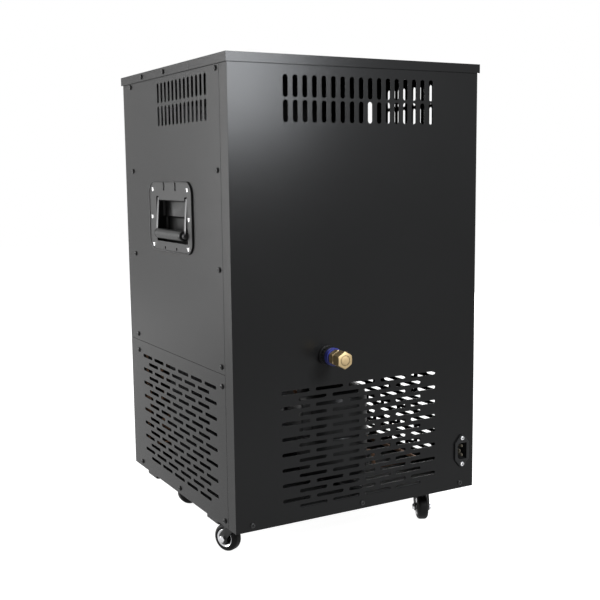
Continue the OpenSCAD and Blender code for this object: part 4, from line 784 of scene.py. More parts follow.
lo, hi = nodeBox("drain_ring")
radius, length, ringEnd = (hi.x - lo.x) / 2, hi.y - lo.y, hi.y
profile = ringProfile(radius, length, drainRing["bore"], drainRing["start"]
                      + lifted(drainRing["groove"], length / 2), drainRing["end"])
shape = Shape().lathe(profile, onDrain @ Matrix.Translation((0, 0, lo.y)), 48, closed=True)
finishPiece("drainRing", shape, "cabinet", "blue_plastic", "drain_ring")

lo, hi = nodeBox("drain_fitting")
fittingEnd = hi.y
shape = Shape().lathe([(fitting["bore"], lo.y), (fitting["pipe"], lo.y),
                       (fitting["pipe"], ringEnd)] + lifted(fitting["collar"], ringEnd),
                      onDrain, 40, closed=True)
shape.hexagon(fitting["neckFlats"], ringEnd + fitting["neckStart"], hi.y, onDrain @ turnZ(30),
              fitting["bore"])
finishPiece("drainFitting", shape, "cabinet", "brass", "drain_fitting")

lo, hi = nodeBox("drain_plug")
pinEnd, pinRadius = fittingEnd + plug["lap"], plug["pin"][-1][0]
shape = Shape().lathe([(0, lo.y)] + lifted(plug["pin"], lo.y) + [(pinRadius, pinEnd),
                                                                (0, pinEnd)], onDrain, 32)
shape.lathe(lifted(plug["collar"], fittingEnd), onDrain, 40)
shape.hexagon(plug["flats"], fittingEnd + plug["collar"][-1][1], hi.y, onDrain @ turnZ(30))
shape.lathe(lifted(plug["boss"], hi.y), onDrain, 32)
finishPiece("drainPlug", shape, "drain_plug", "brass", "drain_plug")
print("drain made")


inlet = {"flange": 3.0, "flangeSoft": 0.5, "ear": 5.5, "screwRadius": 1.6, "screwAt": 20,
         "cavityWide": 16.6, "cavityHigh": 24.4, "cut": 3.5, "depth": 16.0, "wall": 1.4,
         "well": [(0, -16.0), (0, -0.4), (1, -2.8), (1, -18.0)],
         "body": (10.0, 13.7, -1.8), "bodySoft": 0.6}
pin = {"tip": 1.2, "lap": 0.3, "inset": 0.02, "narrow": 0.35, "short": 0.6, "soft": 0.25}
lo, hi = nodeBox("inlet_body")
centre, half, quarter = (lo + hi) / 2, (hi.z - lo.z) / 2, (hi.z - lo.z) / 4
rearFace, wide = hi.y - inlet["flange"], (hi.x - lo.x) / 2
# local X runs along -X of the CAD's frame, so that local Z leaves the rear face
onInlet = axes((centre.x, rearFace, centre.z), (-1, 0, 0), (0, 0, 1))


def cavityOutline(grow=0.0):
    x, z = inlet["cavityWide"] / 2 + grow, inlet["cavityHigh"] / 2 + grow
    cut = inlet["cut"] + grow * 0.4
    return [(x, -z), (x, z), (-x + cut, z), (-x, z - cut), (-x, -z + cut), (-x + cut, -z)]


flange = ([(-wide, quarter), (-wide, -quarter)]
          + arc(inlet["ear"], range(205, 336, 10), 0, inlet["ear"] - half)
          + [(wide, -quarter), (wide, quarter)]
          + arc(inlet["ear"], range(25, 156, 10), 0, half - inlet["ear"]))
shape = curvePlate("inletFlange", [flange, cavityOutline()]
                   + [ringOutline(inlet["screwRadius"], 0, k * inlet["screwAt"]) for k in (1, -1)],
                   inlet["flange"], inlet["flangeSoft"],
                   onInlet @ Matrix.Translation((0, 0, inlet["flange"] / 2)))
shape.loft([atHeight(cavityOutline(wall * inlet["wall"]), inlet["flange"] + z)
            for wall, z in inlet["well"]], onInlet)
x, z, top = inlet["body"]
shape.block((-x, -z, lo.y - rearFace), (x, z, inlet["flange"] - inlet["depth"] + top), onInlet,
            inlet["bodySoft"])
finishPiece("inletSocket", shape, "cabinet", "black_plastic", "inlet_body")

shape = Shape()
for lo, hi in solidBoxes("inlet_pins"):
    shape.block(lo, (hi.x, hi.y - pin["tip"], hi.z), None, pin["soft"])
    centre = (lo + hi) / 2
    wide, high = ((hi[k] - lo[k]) / 2 - pin["inset"] for k in (0, 2))
    shape.loft([[(centre.x + x * wide * across, y, centre.z + z * high * up)
                 for x, z in ((-1, -1), (1, -1), (1, 1), (-1, 1))]
                for y, across, up in ((hi.y - pin["tip"] - pin["lap"], 1, 1),
                                      (hi.y, pin["narrow"], pin["short"]))])
finishPiece("inletPins", shape, "cabinet", "pin_brass", "inlet_pins")
print("inlet made")


topPlate = {"side": 42.0, "corner": 4.0, "thick": 2.5, "soft": 0.4, "boltAt": 14.5,
            "boltFlats": 6.0, "boltHigh": 2.2,
            "race": [(0, -2.4), (12.2, -2.4), (13.4, -2.9), (14.4, -3.4), (15.0, -4.3),
                     (15.0, -6.0), (14.2, -6.9), (12.8, -7.0), (0, -7.0)],
            "kingpin": [(0, -6.9), (4.0, -6.9), (4.0, -10.2), (6.2, -10.2), (6.5, -10.5),
                        (6.3, -11.6), (5.2, -12.2), (0, -12.2)]}
fork = {"crown": [(4.05, -2.6), (11.6, -2.6), (13.6, -2.4), (14.0, -1.8), (13.8, -0.5),
                  (13.2, 0), (4.05, 0)],
        "bridge": (22.0, 2.2, 2.0), "bridgeDepths": (-2.55, -0.05), "bridgeSoft": 0.6,
        "legTop": [(-9.0, -0.4), (-7.8, 0), (11.8, 0), (13.0, -0.4)], "eye": 7.0, "legThick": 2.2,
        "legSoft": 0.5, "gap": 1.0, "sharp": 34.0}
axleBolt = {"radius": 3.0, "flats": 8.6, "high": 3.2, "lap": 0.02}
wheel = {"half": 8.5, "shoulder": 5.5, "bead": [(12.2, -1.3), (13.2, -0.2), (13.6, 0)],
         "trim": [(10.2, -2.2), (10.7, -1.6), (11.3, -1.0), (12.1, -0.6), (12.8, -0.35),
                  (13.15, -0.5), (13.1, -0.9), (12.4, -1.5), (11.2, -2.1), (10.2, -3.0)],
         "hub": [(3.05, -8.4), (4.9, -8.4), (5.4, -7.9), (5.4, -2.5), (12.3, -2.5)],
         "spokes": 6, "spoke": (12.0, 1.1, 6.3), "spokeStart": 4.8, "spokeSoft": 0.3}
plateTop = nodeBox("caster_plates")[1].z
plateShape = Shape()
for corner in ("front_left", "front_right", "rear_left", "rear_right"):
    name = title(corner)
    swivel, axle = jointPlace("swivel_" + corner), jointPlace("roll_" + corner)
    way = Vector((axle.x - swivel.x, axle.y - swivel.y, 0))
    trail = way.length
    way.normalize()
    onPivot = axes((swivel.x, swivel.y, plateTop), way, (-way.y, way.x, 0))
    flat = Matrix.Translation((swivel.x, swivel.y, plateTop))
    under = -topPlate["thick"]
    plateShape.plate(roundOutline(topPlate["side"], topPlate["side"], topPlate["corner"], 5),
                     under, 0.0, flat, topPlate["soft"])
    for x in (-1, 1):
        for y in (-1, 1):
            at = flat @ Matrix.Translation((x * topPlate["boltAt"], y * topPlate["boltAt"], 0))
            plateShape.hexagon(topPlate["boltFlats"], under - topPlate["boltHigh"], under + 0.05,
                               at @ Matrix.Rotation(0.4 * x + y, 4, "Z"), 0.0, (True, False), 24)
    plateShape.lathe(topPlate["race"], onPivot, 48)
    plateShape.lathe(topPlate["kingpin"], onPivot, 32)

    # dished crown and two tapering legs
    crownTop = nodeBox("fork_" + corner)[1].z - plateTop
    axleZ = axle.z - plateTop
    inLeg = wheel["half"] + fork["gap"]
    outLeg = inLeg + fork["legThick"]
    shape = Shape().lathe(lifted(fork["crown"], crownTop), onPivot, 48, closed=True)
    long, bend, shift = fork["bridge"]
    shape.plate(roundOutline(long, 2 * outLeg, bend, 4, shift, 0),
                *(crownTop + depth for depth in fork["bridgeDepths"]), onPivot,
                fork["bridgeSoft"])
    leg = lifted(fork["legTop"], crownTop) + arc(fork["eye"], range(18, -199, -12), trail, axleZ)
    for start in (-outLeg, inLeg):
        onLeg = onPivot @ axes((0, start + fork["legThick"], 0), (1, 0, 0), (0, 0, 1))
        shape.plate(leg[::-1], 0.0, fork["legThick"], onLeg, fork["legSoft"])
    finishPiece("fork" + name, shape, "fork_" + corner, "fork_coat", "fork_" + corner,
                sharp=fork["sharp"])
    onAxle = (onPivot @ Matrix.Translation((trail, 0, axleZ))
              @ Matrix.Rotation(-math.pi / 2, 4, "X"))
    shape = Shape().lathe(rodProfile(axleBolt["radius"], -outLeg, outLeg), onAxle, 24)
    near, far = outLeg - axleBolt["lap"], outLeg + axleBolt["high"]
    shape.hexagon(axleBolt["flats"], near, far, onAxle, 0.0, (False, True), 24)
    shape.hexagon(axleBolt["flats"], -far, -near, onAxle, 0.0, (True, False), 24)
    finishPiece("axle" + name, shape, "fork_" + corner, "screw_chrome")

    # tread with round shoulders, bright dished trims, hub with spokes
    lo, hi = nodeBox("wheel_" + corner)
    onWheel, body = aim(axle, joints["roll_" + corner]["axis"]), "wheel_" + corner
    tread = lifted(wheel["bead"], wheel["half"]) + arc(
        wheel["shoulder"], range(90, -1, -10), (hi.z - lo.z) / 2 - wheel["shoulder"],
        wheel["half"] - wheel["shoulder"])
    shape = Shape().lathe(mirrored(tread), onWheel, 64, closed=True)
    finishPiece("tyre" + name, shape, body, "wheel_rubber", "wheel_" + corner)
    shape = Shape()
    for k in (-1, 1):
        shape.lathe([(r, k * h) for r, h in lifted(wheel["trim"], wheel["half"])], onWheel, 56,
                    closed=True)
    finishPiece("trimRing" + name, shape, body, "screw_chrome")
    shape = Shape().lathe(mirrored(wheel["hub"]), onWheel, 40, closed=True)
    x, y, z = wheel["spoke"]
    shape.roundBlocks(wheel["spokes"], (wheel["spokeStart"], -y, -z), (x, y, z), onWheel,
                      wheel["spokeSoft"])
    finishPiece("wheelHub" + name, shape, body, "black_plastic")
finishPiece("casterPlates", plateShape, "cabinet", "caster_steel", "caster_plates")
print("casters made")


grommet = {"bore": 21.0, "neck": 23.4, "lipSoft": 1.0, "boreSoft": [(0, 0.8), (0.7, 0.1), (2.0, 0)],
           "edge": 0.7, "lipAt": 0.75, "neckAt": 0.65}
lo, hi = nodeBox("hose_grommet")
half, lip = (hi.x - lo.x) / 2, (hi.z - lo.z) / 2
profile = [(grommet["bore"] + r, x - half) for r, x in grommet["boreSoft"]]
profile += [(lip - grommet["lipSoft"], -half), (lip, grommet["edge"] - half),
            (lip, -grommet["lipAt"]), (grommet["neck"], -grommet["neckAt"])]
shape = Shape().lathe(mirrored(profile), aim((lo + hi) / 2, (1, 0, 0)), 56, closed=True)
finishPiece("hoseGrommet", shape, "cabinet", "black_rubber", "hose_grommet")


bezel = {"thick": 3.0, "edge": 0.8, "corner": 3.0, "window": (42.0, 20.0, 1.0, 3, -13.0, 0),
         "keyGap": 0.1}
case = {"half": (35.0, 14.0), "wall": (1.6, 1.8), "front": -7.0, "soft": 0.8,
        "floor": (-7.2, -6.6), "floorRound": 1.0, "floorSoft": 0.1, "lap": 0.1}
window = {"corner": 0.8, "thick": 0.9, "sunk": 0.3, "soft": 0.25}
key = {"deep": 5.0, "edge": [(0, -0.9), (0.25, -0.35), (0.8, -0.05), (1.3, -0.1)], "dish": -0.45}
lo, hi = nodeBox("controller")
centre = (lo + hi) / 2
# local X along +X, local Y up, local Z out of the front
onFront = axes((centre.x, lo.y, centre.z), (1, 0, 0), (0, 0, 1))
keyBoxes = {name: nodeBox("key_" + name) for name in ("top", "middle", "bottom")}
outlines = [roundOutline(hi.x - lo.x, hi.z - lo.z, bezel["corner"], 5),
            roundOutline(*bezel["window"])]
for box in keyBoxes.values():
    at = middle(box) - centre
    outlines.append(ringOutline((box[1].x - box[0].x) / 2 + bezel["keyGap"], at.x, at.z, 24))
shape = curvePlate("bezel", outlines, bezel["thick"], bezel["edge"],
                   onFront @ Matrix.Translation((0, 0, -bezel["thick"] / 2)))
x, y = case["half"]
shape.block((-x, -y, lo.y - hi.y), (x, y, case["front"]), onFront, case["soft"])
shape.plate(roundOutline(2 * x, 2 * y, case["floorRound"], 2), *case["floor"], onFront,
            case["floorSoft"])
shape.walls(x, y, *case["wall"], case["front"], case["lap"] - bezel["thick"], onFront)
finishPiece("thermostatCase", shape, "cabinet", "black_plastic", "controller")

lo, hi = nodeBox("display_window")
centre = (lo + hi) / 2
shape = Shape().plate(roundOutline(hi.x - lo.x, hi.z - lo.z, window["corner"], 3),
                      -window["thick"], 0.0, axes((centre.x, lo.y + window["sunk"], centre.z),
                                                  (1, 0, 0), (0, 0, 1)), window["soft"])
finishPiece("displayWindow", shape, "cabinet", "window_plastic", "display_window")

for name, (lo, hi) in keyBoxes.items():
    centre, r = (lo + hi) / 2, (hi.x - lo.x) / 2
    shape = Shape().lathe([(0, -key["deep"]), (r, -key["deep"])]
                          + [(r - inset, h) for inset, h in key["edge"]] + [(0, key["dish"])],
                          aim((centre.x, lo.y, centre.z), (0, -1, 0)), 28)
    finishPiece("key" + name.title(), shape, "key_" + name, "key_plastic", "key_" + name)

switch = {"corner": 2.0, "hole": (11.0, 15.6, 0.5, 2), "rim": 2.0, "rimSoft": 0.6,
          "half": (6.7, 9.0), "wall": 1.2, "back": -14.0, "backSoft": 0.4}
rocker = {"tip": 11, "radius": 7.4, "half": 5.2, "soft": 0.35, "stub": 1.5, "stubEnd": 6.5,
          "stubSoft": (1.2, 6.3), "top": [(5.2, 5.4), (2.6, 4.75), (0, 4.5), (-2.6, 4.75)]}
lo, hi = nodeBox("switch_frame")
centre = (lo + hi) / 2
onSwitch = axes((centre.x, lo.y, centre.z), (1, 0, 0), (0, 0, 1))
shape = curvePlate("switchRim", [roundOutline(hi.x - lo.x, hi.z - lo.z, switch["corner"], 4),
                                 roundOutline(*switch["hole"])], switch["rim"], switch["rimSoft"],
                   onSwitch @ Matrix.Translation((0, 0, -switch["rim"] / 2)))
x, y = switch["half"]
shape.walls(x, y, switch["wall"], switch["wall"], lo.y - hi.y, -switch["wall"], onSwitch)
shape.block((-x, -y, lo.y - hi.y), (x, y, switch["back"]), onSwitch, switch["backSoft"])
finishPiece("switchFrame", shape, "cabinet", "black_plastic", "switch_frame")

pivot, half = jointPlace("rocker_tip"), rocker["half"]
onRocker = (axes(pivot, (1, 0, 0), (0, 0, 1))
            @ Matrix.Rotation(math.radians(rocker["tip"]), 4, "X"))
side = ([(-half, rocker["top"][0][1])] + arc(rocker["radius"], range(136, 405, 12))
        + rocker["top"])
shape = Shape().plate(side, 0.0, 2 * half, onRocker @ axes((-half, 0, 0), (0, 1, 0), (0, 0, 1)),
                      rocker["soft"])
for k in (-1, 1):
    shape.lathe([(0, 0), (rocker["stub"], 0), (rocker["stub"], rocker["stubSoft"][1]),
                 (rocker["stubSoft"][0], rocker["stubEnd"]), (0, rocker["stubEnd"])],
                aim(pivot, (k, 0, 0)), 20)
finishPiece("rockerKey", shape, "rocker", "rocker_plastic", "rocker")
print("front made")


compressor = {"radius": 54.0, "plate": 3.0, "plateLap": 0.1, "plateSoft": 0.5, "weld": 66.0,
              "dome": 24.0, "stand": 12.0, "ear": 9.8, "earRoot": (20, 13),
              "seam": [(0, 0), (3.4, 0.3), (4.0, 1.4), (4.0, 3.6), (3.4, 4.7), (-0.3, 5.0)],
              "box": ((43, -23, 5), (65, 23, 57)), "boxSoft": 3.0,
              "foot": [(0, 0), (9.4, 0), (10, 0.8), (9.4, 3), (8.2, 4), (8.2, 5), (10, 6.2),
                       (9.6, 12), (4, 12), (4, 17.2), (3.2, 18), (0, 18)]}
feet = solidBoxes("compressor_feet")
compressorAt = sum((middle(box) for box in feet), Vector()) / len(feet)
base = feet[0][0].z + compressor["stand"]
low, top = base + compressor["plate"], nodeBox("compressor")[1].z
weld, radius, dome = low + compressor["weld"], compressor["radius"], compressor["dome"]
onCompressor = Matrix.Translation((compressorAt.x, compressorAt.y, 0))
profile = ([(0, low)] + arc(dome, range(-90, 1, 9), radius - dome, low + dome)
           + [(radius + r, weld + h) for r, h in compressor["seam"]]
           + arc(dome, range(0, 91, 9), radius - dome, top - dome) + [(0, top)])
shape = Shape().lathe(profile, onCompressor, 72)
footShape, ear, (root, rootHalf) = Shape(), compressor["ear"], compressor["earRoot"]
for box in feet:
    foot = middle(box)
    way = Vector((foot.x - compressorAt.x, foot.y - compressorAt.y, 0))
    outline = ([(root, -rootHalf), (way.length, -ear)]
               + arc(ear, range(-75, 76, 15), way.length) + [(way.length, ear), (root, rootHalf)])
    shape.plate(outline, 0.0, compressor["plate"] - compressor["plateLap"],
                axes((compressorAt.x, compressorAt.y, base), way, (-way.y, way.x, 0)),
                compressor["plateSoft"])
    footShape.lathe(lifted(compressor["foot"], box[0].z),
                    Matrix.Translation((foot.x, foot.y, 0)), 36)
onWeld = onCompressor @ Matrix.Translation((0, 0, weld))
shape.block(*compressor["box"], onWeld, compressor["boxSoft"], 3)
finishPiece("compressorShell", shape, "cabinet", "compressor_paint", "compressor")
finishPiece("compressorFeet", footShape, "cabinet", "black_rubber", "compressor_feet")

# closely set fins between end plates, and the copper serpentine through them
condenser = {"pitch": 3.2, "waves": 9, "wave": 0.5, "finHalf": 0.08, "finLift": 18.5,
             "finSharp": 20.0, "tube": 4.5, "rise": 22.0, "passes": 7, "half": 148.0,
             "margin": 4.0, "end": 0.6, "endSoft": 0.3, "stub": 12, "sides": 14}
lo, hi = nodeBox("condenser_fins")
frontY, half, rise = (lo.y + hi.y) / 2, condenser["half"], condenser["rise"]
firstZ = nodeBox("condenser_tubes")[0].z + condenser["tube"]
rings = []
for i in range(condenser["waves"] + 1):
    y, x = lo.y + (hi.y - lo.y) * i / condenser["waves"], condenser["wave"] * (1 if i % 2 else -1)
    bottom, t = lo.z + condenser["finLift"], condenser["finHalf"]
    rings.append([(x - t, y, bottom), (x + t, y, bottom), (x + t, y, hi.z), (x - t, y, hi.z)])
fin = meshObject("finPart", Shape().loft(rings), condenser["finSharp"])
count = int(2 * (half - condenser["margin"]) / condenser["pitch"]) + 1
piece = runTree("condenserFins", bpy.data.meshes.new("finStart"), trees["row"],
                {"Part": fin, "Count": count, "Pitch": (condenser["pitch"] * mm, 0, 0),
                 "First": (-(count - 1) / 2 * condenser["pitch"] * mm, 0, 0),
                 "Finish": slotFinish("fin_metal")})
bpy.data.objects.remove(fin)
dress(piece, "cabinet", "fin_metal", "condenser_fins")
shape = Shape()
for k in (-1, 1):
    x = k * (half - condenser["end"])
    shape.block((x - condenser["end"], lo.y, lo.z), (x + condenser["end"], hi.y, hi.z), None,
                condenser["endSoft"], 1)
finishPiece("condenserEnds", shape, "cabinet", "zinc_sheet")
route, s = [(half + condenser["stub"], frontY, firstZ)], -1
for k in range(condenser["passes"] - 1):
    z = firstZ + (k + 0.5) * rise
    route += [(s * (half + x), frontY, z + up) for x, up in arc(rise / 2, range(-90, 91, 15))]
    s = -s
passTop = firstZ + (condenser["passes"] - 1) * rise
route.append((s * (half + condenser["stub"]), frontY, passTop))
sweepTubes("condenserTube", [route], condenser["tube"], condenser["sides"], "copper",
           "condenser_tubes")

# shroud with a rolled mouth, swept blades on a hub, motor with its bracket
shroud = {"mouth": 74.0, "sheet": 1.2, "soft": 0.2, "holeGap": 0.6,
          "mouthStart": [(0.3, 0), (0, 1.5)], "mouthEnd": [(0, -1.0), (0.4, 0), (1.2, -0.4)],
          "outside": 1.2}
lo, hi = nodeBox("fan_shroud")
fanAt = jointPlace("fan_spin")
ring, length = shroud["mouth"], hi.y - lo.y
shape = curvePlate("shroudSheet", [[(lo.x, lo.z), (hi.x, lo.z), (hi.x, hi.z), (lo.x, hi.z)],
                                   ringOutline(ring + shroud["holeGap"], 0, fanAt.z, 72)],
                   shroud["sheet"], shroud["soft"],
                   axes((0, lo.y + shroud["sheet"] / 2, 0), (-1, 0, 0), (0, 0, 1)))
shape.lathe([(ring + r, h) for r, h in shroud["mouthStart"]
             + lifted(shroud["mouthEnd"], length) + [(shroud["outside"], 0)]],
            aim((fanAt.x, lo.y, fanAt.z), (0, 1, 0)), 72, closed=True)
finishPiece("fanShroud", shape, "cabinet", "zinc_sheet", "fan_shroud")

fan = {"radius": 70.0, "blades": 5, "root": 12.0, "tipGap": 0.4, "spread": (16, 12),
       "sweep": 18, "twist": (6.2, 4.0), "camber": 0.12, "limit": 10.6, "tipTrim": 0.93,
       "halfThick": 0.5, "rows": 8, "columns": 6,
       "hub": [(3.05, -7), (13.0, -7), (14, -6), (14, 5), (12.4, 7), (3.05, 7)]}
onFan, rows, columns = aim(fanAt, (0, 1, 0)), fan["rows"], fan["columns"]
rings = []
for i in range(rows + 1):
    t = i / rows
    r = fan["root"] + (fan["radius"] - fan["tipGap"] - fan["root"]) * t
    spread = (fan["spread"][0] + fan["spread"][1] * t) * (1.0 if i < rows else fan["tipTrim"])
    row = []
    for j in range(columns + 1):
        u = -1 + 2 * j / columns
        z = -u * (fan["twist"][0] + fan["twist"][1] * t) * (1 - fan["camber"] * u)
        row += atHeight(arc(r, [fan["sweep"] * t * t + u * spread]),
                        max(-fan["limit"], min(fan["limit"], z)))
    rings.append([(x, y, z + fan["halfThick"]) for x, y, z in row]
                 + [(x, y, z - fan["halfThick"]) for x, y, z in row[::-1]])
shape = Shape().lathe(fan["hub"], onFan, 40, closed=True)
for b in range(fan["blades"]):
    blade = bmesh.new()
    loops = [[blade.verts.new(p) for p in ring] for ring in rings]
    skin(blade, loops)
    for loop in (loops[0], loops[-1]):
        for j in range(columns):
            blade.faces.new((loop[j], loop[j + 1], loop[-2 - j], loop[-1 - j]))
    shape.take(blade, onFan @ turnZ(360 * b / fan["blades"]))
finishPiece("fanBlades", shape, "fan", "fin_metal", "fan_blades")

motor = {"start": 11.0, "shaft": (3, -18, 0.5), "bracketHalf": 22, "bracketTop": 26.8,
         "bracketThick": 2, "bracketDeep": 24, "soft": 0.5,
         "can": [(0, 0), (9, 0), (10, 1.2), (24, 2.4), (26.4, 4), (27, 6.5), (27, 19),
                 (26.2, 19.4), (26.2, 23), (27, 23.4), (27, 36), (26, 39.4), (23, 41.6), (0, 42)]}
lo, hi = nodeBox("fan_motor")
onMotor = aim((fanAt.x, fanAt.y + motor["start"], fanAt.z), (0, 1, 0))
shape = Shape().lathe(motor["can"], onMotor, 56)
shape.lathe(rodProfile(*motor["shaft"]), onMotor, 20)
x, thick = motor["bracketHalf"], motor["bracketThick"]
shape.block((-x, hi.y - thick, lo.z), (x, hi.y, fanAt.z + motor["bracketTop"]), None,
            motor["soft"])
shape.block((-x, hi.y - motor["bracketDeep"], lo.z), (x, hi.y - thick / 2, lo.z + thick), None,
            motor["soft"])
finishPiece("fanMotor", shape, "cabinet", "motor_paint", "fan_motor")
print("condensing unit made")


coil = {"radius": 80.0, "tube": 5.0, "sides": 14, "turns": 8, "extra": 90, "pitch": 24.0,
        "start": 225, "outset": 14.0, "outsetOver": 180, "bend": 14.0, "x": -28.0, "y": -23.0}
coilLo, coilHi = nodeBox("evaporator_coil")
coilMiddle = middle(nodeBox("tank_liner")) + Vector((coil["x"], coil["y"], 0))
coilMiddle.z = 0
sweepAll, bend = 360 * coil["turns"] + coil["extra"], coil["bend"]
coilLow = coilLo.z + coil["tube"]
coilTop = coilLow + coil["pitch"] * sweepAll / 360
up = Vector((0, 0, 1))


def coilPoint(a):
    late = max(0, a - sweepAll + coil["outsetOver"]) / coil["outsetOver"]
    x, y = arc(coil["radius"] + coil["outset"] * late, [coil["start"] + a])[0]
    return coilMiddle + Vector((x, y, coilTop - coil["pitch"] * a / 360))


def coilWay(a):
    return Vector((*arc(1, [coil["start"] + a + 90])[0], 0))


route = [coilPoint(0) - bend * coilWay(0) + up * (z - coilTop)
         for z in (coilHi.z, coilTop + 2 * bend)]
route += [coilPoint(0) - x * coilWay(0) + (bend - z) * up
          for x, z in arc(bend, range(0, 76, 15))]
route += [coilPoint(10 * k) for k in range(sweepAll // 10 + 1)]
route += [coilPoint(sweepAll) + x * coilWay(sweepAll) + (bend + z) * up
          for x, z in arc(bend, range(-75, 1, 15))]
route += [coilPoint(sweepAll) + bend * coilWay(sweepAll) + up * (coilHi.z - coilLow)]
sweepTubes("evaporatorCoil", [route], coil["tube"], coil["sides"], "copper", "evaporator_coil")
coilEnds = (route[0], route[-1])

# refrigerant lines, with the drier in the liquid line
line = {"radius": 3.0, "sides": 12, "bend": 12.0, "x": 184.0, "low": 14.0, "rise": 14.0,
        "stub": 22, "run": 110, "turnX": 175, "drop": 44, "dropAt": 64,
        "drierPass": 2, "drier": [(3.1, 0), (4.4, 0), (4.8, 3), (8.2, 8), (9, 11), (9, 49),
                                  (8.2, 52), (4.8, 57), (4.4, 60), (3.1, 60)]}
x, y, high = line["x"], compressorAt.y, coilHi.z + line["rise"]
lowZ = nodeBox("base_pan")[0].z + line["low"]
portX, portZ = compressorAt.x - compressor["radius"], lowZ + 2 * line["low"]
stub = condenser["stub"]
shellY, dropZ = y - compressor["radius"], passTop - line["drop"]
runY = cabinetMiddle.y - line["run"]
first, last = coilEnds
suction = [first, (first.x, first.y, high), (-x, first.y, high), (-x, frontY, high),
           (-x, frontY, lowZ), (-x, y, lowZ), (portX - line["stub"], y, lowZ),
           (portX - line["stub"], y, portZ), (portX, y, portZ)]
liquid = [last, (last.x, last.y, high), (last.x, frontY, high), (x, frontY, high),
          (x, frontY, firstZ), (half + stub, frontY, firstZ)]
discharge = [(-half - stub, frontY, passTop), (-line["turnX"], frontY, passTop),
             (-line["turnX"], runY, passTop), (compressorAt.x, runY, passTop),
             (compressorAt.x, shellY - line["dropAt"], passTop),
             (compressorAt.x, shellY - line["dropAt"], dropZ), (compressorAt.x, shellY, dropZ)]
sweepTubes("refrigerantLines", [roundedRoute(r, line["bend"]) for r in
                                (suction, liquid, discharge)],
           line["radius"], line["sides"], "copper", "refrigerant_lines")
shape = Shape().lathe(lifted(line["drier"], firstZ + line["drierPass"] * rise),
                      Matrix.Translation((x, frontY, 0)), 36, closed=True)
finishPiece("lineDrier", shape, "cabinet", "copper")

cover = {"corner": 4.0, "soft": 1.0, "capHole": 20.1, "pipeHole": 5.15}
lo, hi = nodeBox("tank_cover")
coverTop, centre = hi.z, (lo + hi) / 2
capLo, capHi = nodeBox("filler_cap")
capMiddle, radius = (capLo + capHi) / 2, (capHi.x - capLo.x) / 2
risers = solidBoxes("glycol_risers")
outlines = [roundOutline(hi.x - lo.x, hi.y - lo.y, cover["corner"], 4, centre.x, centre.y),
            ringOutline(cover["capHole"], capMiddle.x, capMiddle.y, 48)]
outlines += [ringOutline(cover["pipeHole"], p.x, p.y, 24)
             for p in [middle(box) for box in risers] + list(coilEnds)]
shape = curvePlate("coverSheet", outlines, hi.z - lo.z, cover["soft"],
                   Matrix.Translation((0, 0, centre.z)))
finishPiece("tankCover", shape, "cabinet", "dark_plastic", "tank_cover")

cap = {"under": [(0, 0), (18.6, 0), (19.7, 1.2)], "neck": [(11, 4.0), (7.6, 5.0), (7.2, 6.4)],
       "rim": [(-0.8, 0.05), (0, 0.9), (0, 3.0), (-1.2, 4.0)],
       "knob": [(8.6, -1.6), (8.2, -0.3), (6.6, 0), (0, 0)],
       "seat": 0.1, "ribs": 28, "ribInsets": (0.9, 0.02), "ribHalf": 0.8, "ribHeights": (0.9, 3.2),
       "ribSoft": 0.2}
onCap = Matrix.Translation((capMiddle.x, capMiddle.y, 0))
shape = Shape().lathe(lifted(cap["under"], capLo.z) + [(cap["under"][-1][0],
                                                       coverTop + cap["seat"])]
                      + lifted([(radius + r, h) for r, h in cap["rim"]] + cap["neck"], coverTop)
                      + lifted(cap["knob"], capHi.z), onCap, 56)
ribLow, ribHigh = (coverTop + h for h in cap["ribHeights"])
shape.roundBlocks(cap["ribs"], (radius - cap["ribInsets"][0], -cap["ribHalf"], ribLow),
                  (radius - cap["ribInsets"][1], cap["ribHalf"], ribHigh), onCap, cap["ribSoft"])
finishPiece("fillerCap", shape, "filler_cap", "dark_plastic", "filler_cap")

pump = {"foot": 46, "footCorner": 6, "footHigh": 6, "footSoft": 0.8,
        "body": [(0, 5.8), (24, 5.8), (25, 7), (25, 30), (24.2, 30.6), (24.2, 32), (25, 32.6)],
        "neck": [(25, -13), (22, -10.2), (9, -9.6), (9, -1), (8.2, 0), (5.2, 0), (5.2, -9),
                 (0, -9)]}
lo, hi = nodeBox("glycol_pump")
centre = (lo + hi) / 2
shape = Shape().plate(roundOutline(pump["foot"], pump["foot"], pump["footCorner"], 5, centre.x,
                                   centre.y), lo.z, lo.z + pump["footHigh"], Matrix(),
                      pump["footSoft"])
shape.lathe(lifted(pump["body"], lo.z) + lifted(pump["neck"], hi.z),
            Matrix.Translation((centre.x, centre.y, 0)), 48)
finishPiece("glycolPump", shape, "cabinet", "dark_plastic", "glycol_pump")

riser = {"inner": [(4, 0), (5, 0)], "end": [(5, -0.6), (4.6, 0), (4, 0)],
         "collar": [(5, 0), (7.6, 0), (8, 0.5), (8, 5.5), (7.6, 6), (5, 6)]}
shape = Shape()
for lo, hi in risers:
    centre = (lo + hi) / 2
    shape.lathe(lifted(riser["inner"], lo.z) + lifted(riser["collar"], coverTop)
                + lifted(riser["end"], hi.z), Matrix.Translation((centre.x, centre.y, 0)), 32,
                closed=True)
finishPiece("glycolRisers", shape, "cabinet", "liner_steel", "glycol_risers")

